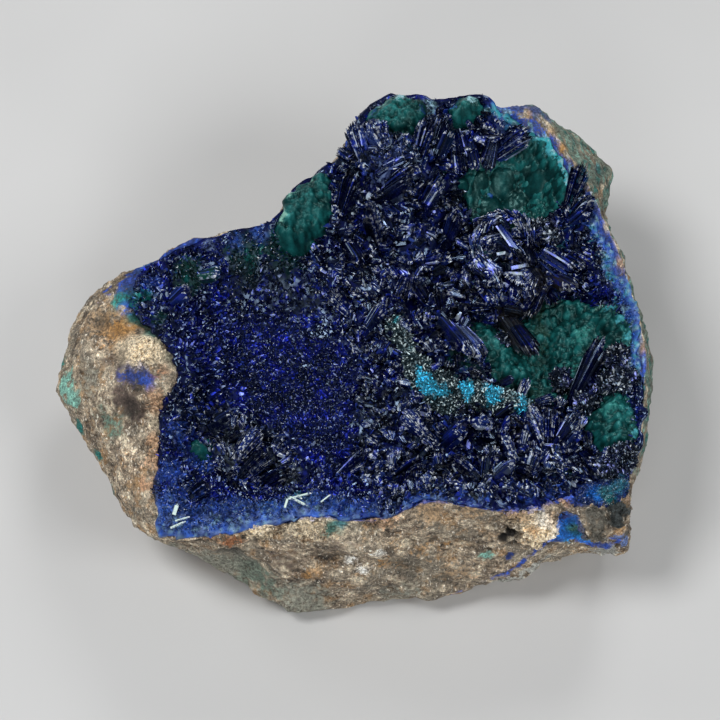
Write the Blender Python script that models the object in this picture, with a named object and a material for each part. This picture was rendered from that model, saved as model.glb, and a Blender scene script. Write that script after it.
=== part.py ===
"""Azurite and malachite on brown host rock, a hand-sized mineral specimen.

The rock is a broken lump whose upper face is a shallow hollow. A crust of azurite lines the hollow, with
bundles of blades standing on it, and lumpy malachite and a chrysocolla band fill the pockets between them.
The specimen lies on its flat underside. Z is up, and the origin is under its middle.
"""

import math
import random

import bmesh
import bpy
import numpy as np
from mathutils import Matrix, Vector, geometry, noise

MM = 0.001  # every length below is in millimetres, and a mesh is made in metres
MIDDLE = (-0.73, -0.4)  # the middle of the specimen's plan, which is moved over the origin

# Minerals that touch in the real specimen keep this gap here.
GAP = 0.35

# The rock's side at stations round it, anticlockwise from the right: rim, belly and foot (which is at z = 0).
SIDE = [
    ((41.5, -7.0, 27.0), (43.0, -4.5, 19.0), (36.5, 0.0)),
    ((39.5, 3.5, 29.0), (40.5, 6.5, 20.0), (35.5, 9.5)),
    ((36.0, 13.0, 30.5), (37.0, 16.5, 22.0), (31.0, 17.5)),
    ((32.0, 22.0, 32.0), (37.2, 26.0, 25.0), (27.5, 24.5)),
    ((26.5, 30.5, 33.0), (31.0, 33.0, 25.0), (22.0, 29.0)),
    ((20.0, 31.5, 33.0), (21.5, 36.0, 20.0), (14.0, 29.5)),
    ((12.0, 32.5, 32.5), (12.5, 36.5, 18.0), (8.0, 29.5)),
    ((2.5, 32.5, 31.5), (1.5, 35.5, 18.0), (0.0, 27.5)),
    ((-1.5, 28.5, 30.0), (-2.5, 31.5, 17.0), (-6.0, 24.5)),
    ((-3.5, 24.5, 28.0), (-7.5, 27.5, 16.0), (-11.0, 22.0)),
    ((-9.5, 20.5, 26.5), (-11.5, 24.0, 15.0), (-15.0, 20.0)),
    ((-12.5, 15.5, 25.5), (-16.0, 19.5, 15.0), (-19.5, 17.5)),
    ((-19.5, 14.0, 25.5), (-21.0, 18.5, 15.0), (-24.0, 16.0)),
    ((-26.0, 13.0, 24.5), (-27.5, 16.0, 15.0), (-28.0, 13.0)),
    ((-31.5, 10.0, 23.0), (-33.5, 13.5, 14.0), (-31.5, 9.5)),
    ((-37.0, 8.0, 21.0), (-41.0, 10.0, 13.0), (-34.5, 5.5)),
    ((-40.5, 1.5, 20.0), (-44.0, 2.0, 12.0), (-36.5, 1.0)),
    ((-41.5, -5.5, 19.0), (-45.8, -5.0, 12.0), (-37.0, -4.5)),
    ((-39.5, -12.0, 18.0), (-42.6, -10.0, 11.0), (-36.0, -9.5)),
    ((-36.2, -18.2, 17.5), (-39.2, -15.2, 10.0), (-34.0, -15.5)),
    ((-32.5, -26.5, 17.5), (-35.5, -22.5, 10.0), (-30.0, -21.0)),
    ((-28.5, -32.5, 18.0), (-31.0, -29.0, 11.0), (-25.5, -25.5)),
    ((-22.5, -34.0, 20.0), (-24.5, -31.5, 10.0), (-20.0, -28.5)),
    ((-14.5, -33.0, 21.5), (-17.5, -33.5, 5.0), (-14.5, -33.0)),
    ((-5.5, -32.0, 22.5), (-9.0, -37.0, 3.0), (-8.0, -36.0)),
    ((2.0, -32.5, 22.5), (3.5, -35.5, 3.0), (3.5, -34.0)),
    ((9.5, -31.0, 25.0), (13.5, -35.0, 4.0), (12.0, -32.5)),
    ((15.0, -31.5, 25.0), (21.0, -34.0, 6.0), (19.5, -29.5)),
    ((21.5, -31.5, 23.0), (26.0, -32.0, 8.0), (25.5, -27.0)),
    ((29.0, -30.0, 21.0), (32.0, -30.8, 9.0), (30.0, -26.0)),
    ((35.0, -31.5, 18.5), (37.0, -31.5, 10.0), (34.0, -24.5)),
    ((38.3, -31.3, 18.0), (39.2, -30.0, 11.5), (36.5, -21.5)),
    ((39.0, -26.5, 20.0), (39.8, -24.0, 13.0), (37.5, -15.0)),
    ((40.8, -18.0, 24.0), (42.2, -13.0, 16.0), (37.5, -8.0)),
]

# Heights of the rock's upper face inside its rim: the hollow's floor, its pockets and the bare left shoulder.
FLOOR = [
    (-10.5, -5.5, 13.0), (-18.5, 1.5, 16.0), (-20.0, -12.0, 14.5), (-9.0, -16.0, 14.0), (-0.5, -9.5, 15.5),
    (-21.0, 8.0, 19.5), (-10.5, 10.5, 18.0), (-3.0, 15.5, 21.5), (4.5, 22.0, 29.0), (10.5, 18.5, 23.5),
    (5.0, 11.0, 19.0), (13.5, 14.0, 18.5), (10.5, 3.0, 19.5), (22.0, 22.5, 21.5), (28.5, 21.5, 25.0),
    (21.5, 11.0, 23.0), (30.5, 11.5, 23.5), (35.5, 2.5, 22.5), (34.0, -2.0, 18.5), (25.0, -1.5, 18.0),
    (37.0, -16.0, 20.0), (16.0, -11.5, 20.0), (6.5, -7.5, 19.5), (11.5, -16.0, 15.5), (22.0, -18.0, 17.0),
    (30.5, -18.0, 17.5), (2.0, -21.5, 16.0), (-24.0, -21.5, 16.5), (-14.5, -26.0, 16.5), (-3.0, -26.0, 17.0),
    (30.5, -26.0, 18.0), (-31.0, -6.0, 24.5), (-27.0, -6.5, 24.5), (-30.5, -13.5, 23.0),
    (-31.5, -20.5, 21.0), (-35.5, -2.5, 22.5), (-36.5, -11.5, 20.5), (-34.5, 2.0, 23.0), (-31.0, -28.0, 19.0),
]

# The azurite crust's edge in plan.
CRUST_EDGE = [
    (41.0, -1.5), (38.0, 5.5), (35.5, 12.5), (32.0, 19.0), (29.5, 24.0), (26.5, 28.0), (21.0, 31.0),
    (17.0, 32.0), (10.5, 32.2), (4.5, 33.2), (-0.5, 30.0), (-2.0, 25.5), (-5.5, 23.0), (-9.5, 20.0),
    (-12.5, 15.0), (-18.5, 13.5), (-25.0, 12.0), (-29.5, 10.0), (-32.0, 8.0), (-34.0, 3.0), (-31.0, -2.0),
    (-27.5, -6.5), (-26.5, -10.0), (-29.0, -13.0), (-29.0, -18.5), (-30.0, -24.0), (-29.5, -29.0),
    (-29.0, -32.5), (-23.0, -34.0), (-14.0, -33.0), (-5.5, -32.0), (2.0, -32.5), (6.5, -31.5),
    (9.5, -30.5), (13.5, -31.0), (18.0, -31.5), (23.0, -31.0), (26.5, -29.5), (31.0, -26.5), (35.5, -25.0),
    (39.0, -24.0), (41.0, -19.5), (41.5, -13.5), (40.5, -8.0),
]
CRUST_DEPTH = 2.5  # from the rock to the foot of the druse's points
CRUST_EDGE_DEPTH = 1.0
CRUST_EDGE_RAMP = 2.5
BED_DROP = 0.8  # the rock's face lies this much lower under the crust than at the crust's edge
DRUSE_PITCH = 2.6  # between the crystal tips and hollows that make up the druse
DRUSE_HEIGHT = 1.3
CRUST_LUMPS = 1.2  # how far the crust swells and sinks outside the smooth bowl
SMOOTH_BOWL = (-10.0, -9.0, 14.0)  # centre and radius of the stretch where the druse is finest
SMOOTH_BOWL_SHARE = 0.35

# Each lump of malachite: its edge in plan and how far its bed stands over the rock.
MALACHITE = {
    "malachite_upper_pocket": ([(16.5, 25.0), (21.0, 26.5), (26.0, 26.0), (29.5, 24.0), (31.0, 20.5), (28.0, 18.5),
                                (26.0, 17.0), (21.0, 17.0), (18.0, 17.5), (15.5, 21.5)], 1.8),
    "malachite_right_pocket": ([(29.5, 2.0), (34.5, 2.5), (38.0, 0.0), (38.8, -5.0), (36.5, -8.5), (33.5, -10.0),
                                (29.5, -9.0), (27.5, -4.5), (28.0, 0.0)], 2.8),
    "malachite_middle": ([(17.5, 0.0), (20.5, 0.0), (23.5, -2.5), (25.5, -6.0), (25.5, -8.5), (22.0, -8.5),
                          (19.0, -6.0), (17.0, -3.0)], 2.4),
    "malachite_lower_right": ([(34.5, -12.5), (38.0, -12.0), (39.3, -14.5), (39.0, -18.5), (37.5, -21.5),
                               (35.0, -20.5), (33.0, -16.5), (32.8, -14.0)], 3.0),
    "malachite_left_rim": ([(-12.3, 16.0), (-10.5, 19.8), (-7.5, 22.3), (-4.5, 22.5), (-4.0, 19.0), (-5.0, 15.5),
                            (-9.0, 12.5), (-12.0, 13.0)], 2.4),
    "malachite_top_left_rim": ([(1.5, 31.5), (5.0, 33.3), (9.5, 32.5), (10.0, 29.5), (7.5, 27.0), (3.5, 27.0),
                                (1.0, 29.0)], 2.4),
    "malachite_top_rim": ([(13.0, 31.5), (16.0, 32.7), (18.5, 31.8), (17.5, 29.3), (13.5, 29.0)], 2.6),
}
CHRYSOCOLLA = ([(4.5, 0.5), (7.0, 0.5), (9.5, -4.5), (12.5, -8.8), (17.5, -10.5), (23.0, -10.8), (25.5, -12.5),
                (24.5, -14.0), (19.5, -13.8), (13.0, -13.2), (7.5, -10.5), (5.5, -5.5)], 2.8)
LUMP_PITCH = 1.35
LUMP_HEIGHT = 0.8
LUMP_EDGE_DEPTH = 0.9
CUT_HEIGHT = 9.0  # how far the crust is cut away over a lump

# Bundles of azurite blades: root in plan, heading in degrees from +X, length and width of the bundle, and how
# far its tips rise over the crust.
BUNDLES = [
    (22.0, 15.0, -150, 4.5, 2.0, 1.5), (19.0, 12.5, -115, 5.0, 2.0, 1.5), (17.5, 9.0, -70, 4.5, 2.0, 1.0),
    (18.5, 5.5, -60, 4.0, 2.5, 1.0), (25.0, 12.0, -80, 4.5, 2.0, 1.5), (26.0, 7.5, -115, 4.5, 2.5, 1.0),
    (20.5, 14.5, -60, 7.5, 2.5, 2.0), (21.5, 1.5, -60, 9.0, 3.0, 2.5), (31.0, -11.5, 55, 8.0, 2.0, 4.0),
    (13.0, 0.5, -60, 9.5, 4.5, 2.5), (14.0, 28.5, -80, 6.0, 2.0, 1.0), (16.0, 28.0, -75, 5.0, 2.0, 1.0),
    (20.0, 28.0, -105, 5.0, 2.0, 1.0), (20.5, 26.5, 15, 5.0, 3.0, 2.0), (2.0, 19.0, 25, 6.5, 3.5, 1.5),
    (9.0, 17.5, 50, 5.0, 2.5, 2.0), (0.5, 24.0, 110, 5.0, 2.5, 1.5), (3.5, 25.0, 120, 4.0, 2.5, 1.5),
    (8.5, 24.0, 70, 4.5, 2.5, 2.0), (11.0, 24.0, 65, 5.0, 2.5, 2.0), (-1.0, 24.0, 150, 3.0, 2.0, 1.0),
    (28.0, 8.0, -40, 5.5, 2.0, 1.5), (27.5, 7.0, -120, 7.5, 2.5, 1.0), (30.5, 14.5, 15, 4.0, 2.5, 1.5),
    (29.5, 11.5, -50, 6.0, 2.5, 1.0), (31.0, 17.0, 60, 4.0, 2.0, 1.0), (27.0, -18.5, 120, 4.5, 3.0, 3.0),
    (27.5, -18.5, 85, 4.5, 3.0, 3.0), (28.5, -19.0, 40, 4.5, 3.0, 3.0), (31.5, -19.0, -60, 6.5, 2.5, 1.5),
    (17.5, -27.0, 140, 5.0, 2.0, 2.5), (18.0, -27.0, 80, 4.5, 2.0, 3.0), (18.5, -27.0, 40, 5.0, 2.0, 2.5),
    (20.5, -23.5, -30, 5.0, 2.0, 1.5), (7.5, 10.5, -100, 6.5, 2.5, 1.5), (10.5, 4.5, 130, 4.0, 2.5, 1.5),
    (-17.5, -22.5, 35, 5.5, 2.5, 2.0), (-18.5, -19.5, 50, 6.0, 2.5, 2.0), (-14.5, -24.0, 15, 4.5, 2.5, 2.0),
    (-22.5, -15.0, 35, 4.5, 2.0, 1.5), (-3.0, 17.5, 60, 4.0, 2.0, 2.0), (-2.0, 14.5, -60, 5.0, 2.0, 1.5),
    (10.0, -16.5, 145, 4.5, 2.0, 2.0), (11.5, -18.0, 20, 4.5, 2.5, 2.0), (0.5, 0.5, 45, 4.5, 2.0, 2.0),
    (-1.5, 5.0, 150, 3.5, 2.0, 2.0), (3.0, 13.5, 115, 4.0, 2.0, 2.0), (12.5, 14.5, 60, 4.0, 2.0, 2.0),
    (-28.0, 2.5, 40, 3.5, 2.0, 1.5), (-24.0, 8.0, 5, 3.5, 2.0, 1.0), (-3.0, -22.5, 25, 4.0, 2.0, 2.0),
    (5.0, -24.5, 15, 4.0, 2.0, 2.0), (-25.0, -28.0, 30, 4.0, 2.5, 1.5), (24.0, -25.5, 70, 4.0, 2.0, 2.0),
]
BUNDLE_BLADES = ((3.0, 3), (2.5, 2), (0.0, 1))  # how many blades a bundle has, from the widest down
CLEAR_OF_BLADES = 1.3  # the druse has no points this near a bundle's middle
BLADE_SINK = 0.8  # how far a blade's root starts below the crust's bed
TIP_RISE = 0.7  # added to the height of every tip

# How finely the rock is divided.
COLUMNS_PER_STATION = 2
TOP_RINGS = 10
UPPER_STEPS, LOWER_STEPS = 5, 3  # rows of the side above and below the belly
HUB = (1.0, -2.0)  # the point that the rings of the upper face close on
ROUGHNESS = 1.5
LEDGE_HEIGHT = 8.0
LEDGE_DEPTH = 1.3
BARE_ROUGHNESS = 1.1
BARE_MARGIN = 1.2  # bare rock turns rough this far outside the crust


def remove_old_objects():
    for old in list(bpy.data.objects):
        bpy.data.objects.remove(old)


def closed_curve(points, per_span):
    """Points along a smooth closed curve (Catmull-Rom) through the given ones, per_span for each of them."""
    p = np.array(points, float)
    before, after, beyond = np.roll(p, 1, 0), np.roll(p, -1, 0), np.roll(p, -2, 0)
    spans = []
    for step in range(per_span):
        t = step / per_span
        spans.append(0.5 * (2 * p + (after - before) * t + (2 * before - 5 * p + 4 * after - beyond) * t**2
                            + (3 * p - before - 3 * after + beyond) * t**3))
    return np.stack(spans, 1).reshape(-1, p.shape[1])


def thin_plate(points):
    """A smooth height f(x, y) that passes through all the given (x, y, z)."""
    p = np.array(points, float)

    def bend(distance):
        return distance**2 * np.log(distance + 1e-9)

    apart = np.linalg.norm(p[:, None, :2] - p[None, :, :2], axis=2)
    flat = np.column_stack([np.ones(len(p)), p[:, :2]])
    system = np.block([[bend(apart), flat], [flat.T, np.zeros((3, 3))]])
    weights = np.linalg.solve(system, np.concatenate([p[:, 2], np.zeros(3)]))

    def height(x, y):
        distance = np.hypot(x - p[:, 0], y - p[:, 1])
        return float(bend(distance) @ weights[:-3] + weights[-3] + weights[-2] * x + weights[-1] * y)

    return height


def depth_inside(edge, x, y):
    """Distance from (x, y) to a closed outline, positive inside it."""
    a, b = edge, np.roll(edge, -1, 0)
    run = b - a
    along = np.clip(((x - a[:, 0]) * run[:, 0] + (y - a[:, 1]) * run[:, 1]) / (run**2).sum(1), 0, 1)
    distance = np.hypot(a[:, 0] + along * run[:, 0] - x, a[:, 1] + along * run[:, 1] - y).min()
    crosses = (a[:, 1] > y) != (b[:, 1] > y)
    at = a[crosses, 0] + (y - a[crosses, 1]) / run[crosses, 1] * run[crosses, 0]
    return distance if (at > x).sum() % 2 else -distance


def grown(edge, by):
    """A closed anticlockwise outline moved outwards."""
    run = np.roll(edge, -1, 0) - np.roll(edge, 1, 0)
    out = np.column_stack([run[:, 1], -run[:, 0]]) / np.linalg.norm(run, axis=1)[:, None]
    return edge + by * out


def anticlockwise(edge):
    following = np.roll(edge, -1, 0)
    area = (edge[:, 0] * following[:, 1] - following[:, 0] * edge[:, 1]).sum()
    return edge if area > 0 else edge[::-1]


def honeycomb(edge, pitch, seed):
    """Points in rows inside an outline, a little out of line, each with True on every third one, a peak."""
    rng = random.Random(seed)
    low, high = edge.min(0), edge.max(0)
    found = []
    for row in range(int((high[1] - low[1]) / (pitch * 0.866)) + 2):
        for place in range(int((high[0] - low[0]) / pitch) + 2):
            x = low[0] + (place + (row % 2) / 2) * pitch + rng.uniform(-0.22, 0.22) * pitch
            y = low[1] + row * pitch * 0.866 + rng.uniform(-0.22, 0.22) * pitch
            peak = (place - row // 2 - row % 2 * 2) % 3 == 0
            if depth_inside(edge, x, y) > 0.55 * pitch:
                found.append((x, y, peak))
    return found


def add_object(name, verts, faces, color, roughness):
    """One closed solid from millimetre vertices, as an object with its own material."""
    mesh = bpy.data.meshes.new(name)
    moved = [((x - MIDDLE[0]) * MM, (y - MIDDLE[1]) * MM, z * MM) for x, y, z in verts]
    mesh.from_pydata(moved, [], faces)
    body = bmesh.new()
    body.from_mesh(mesh)
    bmesh.ops.triangulate(body, faces=body.faces)
    bmesh.ops.recalc_face_normals(body, faces=body.faces)
    body.to_mesh(mesh)
    body.free()
    material = bpy.data.materials.new(name)
    material.use_nodes = True
    shader = material.node_tree.nodes["Principled BSDF"]
    shader.inputs["Base Color"].default_value = (*color, 1.0)
    shader.inputs["Roughness"].default_value = roughness
    mesh.materials.append(material)
    placed = bpy.data.objects.new(name, mesh)
    bpy.context.scene.collection.objects.link(placed)
    return placed


def hide_cutter(placed):
    placed.hide_render = True
    placed.display_type = "WIRE"


def triangles_inside(edge, inner):
    """Triangles over an outline and the points inside it; the corners keep their order."""
    corners = [Vector(p) for p in edge] + [Vector(p[:2]) for p in inner]
    rim = [(i, (i + 1) % len(edge)) for i in range(len(edge))]
    made = geometry.delaunay_2d_cdt(corners, rim, [], 1, 1e-5)
    if len(made[0]) != len(corners):
        raise ValueError("two points of a plate coincide")
    return made[2]


def plate(edge, top_points, top, bottom_points, bottom):
    """Vertices and faces of a closed plate between two heights, over an outline."""
    count = len(edge)
    upper = [(x, y, top(x, y, False)) for x, y in edge] + [(x, y, top(x, y, peak)) for x, y, peak in top_points]
    lower = [(x, y, bottom(x, y)) for x, y in edge] + [(x, y, bottom(x, y)) for x, y, _ in bottom_points]
    base = len(upper)
    faces = [tuple(face) for face in triangles_inside(edge, top_points)]
    faces += [tuple(base + i for i in reversed(face)) for face in triangles_inside(edge, bottom_points)]
    faces += [(i, base + i, base + (i + 1) % count, (i + 1) % count) for i in range(count)]
    return upper + lower, faces


# ---- the rock

def rough(x, y, z, size):
    """Smooth bumps of about the given size, from -1 to 1."""
    return noise.noise(Vector((x, y, z)) / size)


def ledge(x, y, z):
    """How far the broken side stands out at a height, as slanting beds of stone."""
    bed = (z + 0.35 * x + 1.5 * rough(x, y, z, 9.0)) / LEDGE_HEIGHT
    return LEDGE_DEPTH * (2 * abs((bed % 1.0) - 0.5) - 0.5)


def upper_face(ground, crust_edge, x, y):
    """Height of the rock's upper face: smooth under the crust and rough where it is bare."""
    inside = depth_inside(crust_edge, x, y)
    bare = min(1.0, max(0.0, (-inside - BARE_MARGIN) / 2.0))
    drop = BED_DROP * min(1.0, max(0.0, 0.5 + inside / 2.0))
    return ground(x, y) - drop + bare * BARE_ROUGHNESS * (rough(x, y, 0, 3.5) + 0.6 * rough(x, y, 5, 1.8))


def side_point(rim, belly, foot, step):
    """A point on one station's side, from the rim (step 0) over the belly to the foot."""
    if step <= UPPER_STEPS:
        place = rim.lerp(belly, step / UPPER_STEPS)
    else:
        place = belly.lerp(foot, (step - UPPER_STEPS) / LOWER_STEPS)
    out = Vector((belly.x - HUB[0], belly.y - HUB[1], 0)).normalized()
    if step == UPPER_STEPS + LOWER_STEPS:
        return place
    push = ROUGHNESS * (rough(*place, 7.0) + 0.6 * rough(*place, 3.0)) + ledge(*place)
    return place + out * push


def make_rock(ground, crust_edge):
    rim = closed_curve([station[0] for station in SIDE], COLUMNS_PER_STATION)
    belly = closed_curve([station[1] for station in SIDE], COLUMNS_PER_STATION)
    foot = closed_curve([(*station[2], 0.0) for station in SIDE], COLUMNS_PER_STATION)
    columns = len(rim)
    verts = [(*HUB, upper_face(ground, crust_edge, *HUB))]
    for ring in range(1, TOP_RINGS + 1):
        share = (ring / TOP_RINGS) ** 0.8
        for x, y, _ in rim:
            across = HUB[0] + (x - HUB[0]) * share
            along = HUB[1] + (y - HUB[1]) * share
            verts.append((across, along, upper_face(ground, crust_edge, across, along)))
    for step in range(1, UPPER_STEPS + LOWER_STEPS + 1):
        for column in range(columns):
            start = Vector((rim[column][0], rim[column][1], ground(*rim[column][:2])))
            verts.append(tuple(side_point(start, Vector(belly[column]), Vector(foot[column]), step)))
    verts.append((*HUB, 0.0))
    rings = TOP_RINGS + UPPER_STEPS + LOWER_STEPS
    faces = [(0, 1 + i, 1 + (i + 1) % columns) for i in range(columns)]
    for ring in range(rings - 1):
        start = 1 + ring * columns
        for i in range(columns):
            j = (i + 1) % columns
            faces.append((start + i, start + columns + i, start + columns + j, start + j))
    last = 1 + (rings - 1) * columns
    faces += [(len(verts) - 1, last + (i + 1) % columns, last + i) for i in range(columns)]
    return add_object("host_rock", verts, faces, (0.27, 0.21, 0.15), 0.85)


# ---- malachite and chrysocolla

def lump_plate(ground, shape, seed, grow=0.0):
    """A plate of small lumps on the rock. With grow it is the taller, wider plate that cuts its bed."""
    corners, depth = shape
    edge = anticlockwise(closed_curve(corners, 3))
    sparse = honeycomb(edge, 2.4 * LUMP_PITCH, seed + 2)
    if grow:
        return plate(grown(edge, grow), sparse, lambda x, y, _: ground(x, y) + CUT_HEIGHT, sparse,
                     lambda x, y: ground(x, y) - 3.0)

    def top(x, y, peak):
        inside = min(1.0, max(0.0, depth_inside(edge, x, y) / 1.6))
        bed = LUMP_EDGE_DEPTH + (depth - LUMP_EDGE_DEPTH) * math.sqrt(inside)
        return ground(x, y) + bed + (LUMP_HEIGHT * inside if peak else 0.0)

    return plate(edge, honeycomb(edge, LUMP_PITCH, seed), top, sparse, lambda x, y: ground(x, y) + GAP)


def make_lumps(ground):
    """The malachite and chrysocolla solids, and a hidden, larger copy of each to cut the crust with."""
    shapes = [(name, shape, (0.005, 0.09, 0.065), 0.3) for name, shape in MALACHITE.items()]
    shapes.append(("chrysocolla_band", CHRYSOCOLLA, (0.08, 0.28, 0.36), 0.5))
    cutters = []
    for number, (name, shape, color, roughness) in enumerate(shapes):
        add_object(name, *lump_plate(ground, shape, 10 * number), color, roughness)
        cutter = add_object(name + "_bed", *lump_plate(ground, shape, 10 * number, GAP), color, roughness)
        hide_cutter(cutter)
        cutters.append(cutter)
    return cutters


# ---- azurite

def roughness_share(x, y):
    """0 in the smooth bowl, where the druse is finest, and 1 well outside it."""
    bowl = math.hypot(x - SMOOTH_BOWL[0], y - SMOOTH_BOWL[1]) / SMOOTH_BOWL[2]
    return min(1.0, max(0.0, 2 * bowl - 1))


def crust_bed(ground, edge, x, y):
    """The height the druse stands on: it thins to the crust's edge, and swells and sinks outside the bowl."""
    inside = min(1.0, max(0.0, depth_inside(edge, x, y) / CRUST_EDGE_RAMP))
    lumps = CRUST_LUMPS * roughness_share(x, y) * inside * rough(x, y, 20, 4.5)
    return ground(x, y) + CRUST_EDGE_DEPTH + (CRUST_DEPTH - CRUST_EDGE_DEPTH) * inside + lumps


def crust_top(ground, edge):
    """The height of the druse: crystal points over the bed."""

    def top(x, y, peak):
        if not peak:
            return crust_bed(ground, edge, x, y)
        inside = min(1.0, max(0.0, depth_inside(edge, x, y) / CRUST_EDGE_RAMP))
        share = SMOOTH_BOWL_SHARE + (1 - SMOOTH_BOWL_SHARE) * roughness_share(x, y)
        return crust_bed(ground, edge, x, y) + DRUSE_HEIGHT * share * inside

    return top


def blade(length, width, thickness):
    """A bladed crystal along +Y: a flat prism that ends in a chisel edge."""
    half, deep = width / 2, thickness / 2
    shoulder = length * 0.84
    verts = [(x, y, z) for y in (0.0, shoulder) for x, z in ((-half, -deep), (half, -deep), (half, deep),
                                                            (-half, deep))]
    verts += [(-half * 0.65, length, 0.0), (half * 0.65, length, 0.0)]
    faces = [(0, 1, 2, 3), (0, 4, 5, 1), (1, 5, 6, 2), (2, 6, 7, 3), (3, 7, 4, 0)]
    faces += [(4, 8, 9, 5), (5, 9, 6), (6, 9, 8, 7), (7, 8, 4)]
    return verts, faces


def bundle_blades(bed, bundle, rng):
    """The blades of one bundle, as (vertices, faces), fanned out from its root."""
    x, y, heading, length, width, rise = bundle
    made = []
    count = next(blades for least, blades in BUNDLE_BLADES if width >= least)
    for number in range(count):
        aside = number - (count - 1) / 2
        turn = math.radians(heading + 9 * aside + rng.uniform(-3, 3))
        reach = length * rng.uniform(0.85, 1.0)
        across = Vector((-math.sin(turn), math.cos(turn), 0))
        root = Vector((x, y, 0)) + across * aside * width * 0.4
        tip = root + Vector((math.cos(turn), math.sin(turn), 0)) * reach
        root.z = bed(root.x, root.y) - BLADE_SINK
        tip.z = bed(tip.x, tip.y) + TIP_RISE + rise * rng.uniform(0.7, 1.1)
        run = (tip - root).normalized()
        turned = Matrix.Rotation(math.radians(rng.uniform(-25, 25)), 3, run)
        side = turned @ run.cross(Vector((0, 0, 1))).normalized()
        frame = Matrix((side, run, side.cross(run))).transposed()
        verts, faces = blade((tip - root).length, max(1.3, width * 0.55), max(0.8, width * 0.35))
        made.append(([tuple(root + frame @ Vector(v)) for v in verts], faces))
    return made


def keep_largest_body(placed):
    """Applies an object's modifiers and drops the crumbs and sealed bubbles that its Booleans leave."""
    view = bpy.context.evaluated_depsgraph_get()
    mesh = bpy.data.meshes.new_from_object(placed.evaluated_get(view))
    body = bmesh.new()
    body.from_mesh(mesh)
    left, bodies = set(body.verts), []
    while left:
        found, front = set(), [next(iter(left))]
        while front:
            vert = front.pop()
            if vert not in found:
                found.add(vert)
                front.extend(edge.other_vert(vert) for edge in vert.link_edges)
        left -= found
        bodies.append(found)
    bodies.sort(key=len)
    bmesh.ops.delete(body, geom=[vert for crumb in bodies[:-1] for vert in crumb], context="VERTS")
    bmesh.ops.triangulate(body, faces=body.faces)
    body.to_mesh(mesh)
    body.free()
    placed.modifiers.clear()
    placed.data = mesh


def near_a_bundle(x, y):
    for u, v, heading, length, _, _ in BUNDLES:
        along = Vector((math.cos(math.radians(heading)), math.sin(math.radians(heading))))
        off = Vector((x - u, y - v))
        if (off - along * min(length, max(0.0, off.dot(along)))).length < CLEAR_OF_BLADES:
            return True
    return False


def make_crust(ground, edge, cutters):
    """The crust with its blades fused on, and its beds for the malachite and chrysocolla cut out."""
    inner = [point for point in honeycomb(edge, DRUSE_PITCH, 3) if not near_a_bundle(*point[:2])]
    verts, faces = plate(edge, inner, crust_top(ground, edge), honeycomb(edge, 2.0 * DRUSE_PITCH, 4),
                         lambda x, y: ground(x, y) + GAP)
    color = (0.008, 0.015, 0.16)
    crust = add_object("azurite_crust", verts, faces, color, 0.25)
    blades = bpy.data.collections.new("blades")
    beds = bpy.data.collections.new("beds")
    rng = random.Random(5)

    def bed(x, y):
        return crust_bed(ground, edge, x, y)

    for number, bundle in enumerate(BUNDLES):
        for part, (blade_verts, blade_faces) in enumerate(bundle_blades(bed, bundle, rng)):
            piece = add_object(f"blade_{number}_{part}", blade_verts, blade_faces, color, 0.25)
            hide_cutter(piece)
            blades.objects.link(piece)
    for cutter in cutters:
        beds.objects.link(cutter)
    for name, operation, collection in (("grow", "UNION", blades), ("beds", "DIFFERENCE", beds)):
        change = crust.modifiers.new(name, "BOOLEAN")
        change.operation = operation
        change.operand_type = "COLLECTION"
        change.collection = collection
        change.solver = "EXACT"
    keep_largest_body(crust)


def main():
    remove_old_objects()
    ground = thin_plate([station[0] for station in SIDE] + FLOOR)
    crust_edge = anticlockwise(closed_curve(CRUST_EDGE, 2))
    make_rock(ground, crust_edge)
    make_crust(ground, crust_edge, make_lumps(ground))


main()
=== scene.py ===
"""The looks of an azurite specimen: broken host rock, a crust of azurite druse with bundles of blades, lumpy
malachite and a sugary chrysocolla band. The tables of shapes are those of the solids, in millimetres."""

import math
import random

import bpy
import numpy as np
from mathutils import Matrix, Vector, noise
from mathutils.geometry import delaunay_2d_cdt


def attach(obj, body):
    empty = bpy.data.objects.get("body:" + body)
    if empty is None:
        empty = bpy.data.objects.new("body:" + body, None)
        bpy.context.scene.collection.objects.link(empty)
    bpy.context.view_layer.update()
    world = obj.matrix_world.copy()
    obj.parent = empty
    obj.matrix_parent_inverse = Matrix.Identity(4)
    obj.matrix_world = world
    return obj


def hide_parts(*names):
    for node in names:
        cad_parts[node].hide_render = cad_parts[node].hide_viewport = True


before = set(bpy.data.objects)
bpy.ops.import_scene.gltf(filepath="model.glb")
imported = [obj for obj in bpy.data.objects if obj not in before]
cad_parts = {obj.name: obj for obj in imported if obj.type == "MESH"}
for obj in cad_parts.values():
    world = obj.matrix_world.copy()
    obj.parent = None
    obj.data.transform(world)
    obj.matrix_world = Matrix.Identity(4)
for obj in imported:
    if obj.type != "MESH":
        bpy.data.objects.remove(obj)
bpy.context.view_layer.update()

MM = 0.001
MIDDLE = (-0.73, -0.4)  # the middle of the specimen's plan, which is moved over the origin
HUB = (1.0, -2.0)  # in plan, where the rock's rows of points begin
GAP = 0.35  # how far the underside of the chrysocolla is over the rock

# ---- the shapes, as the solids have them

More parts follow.
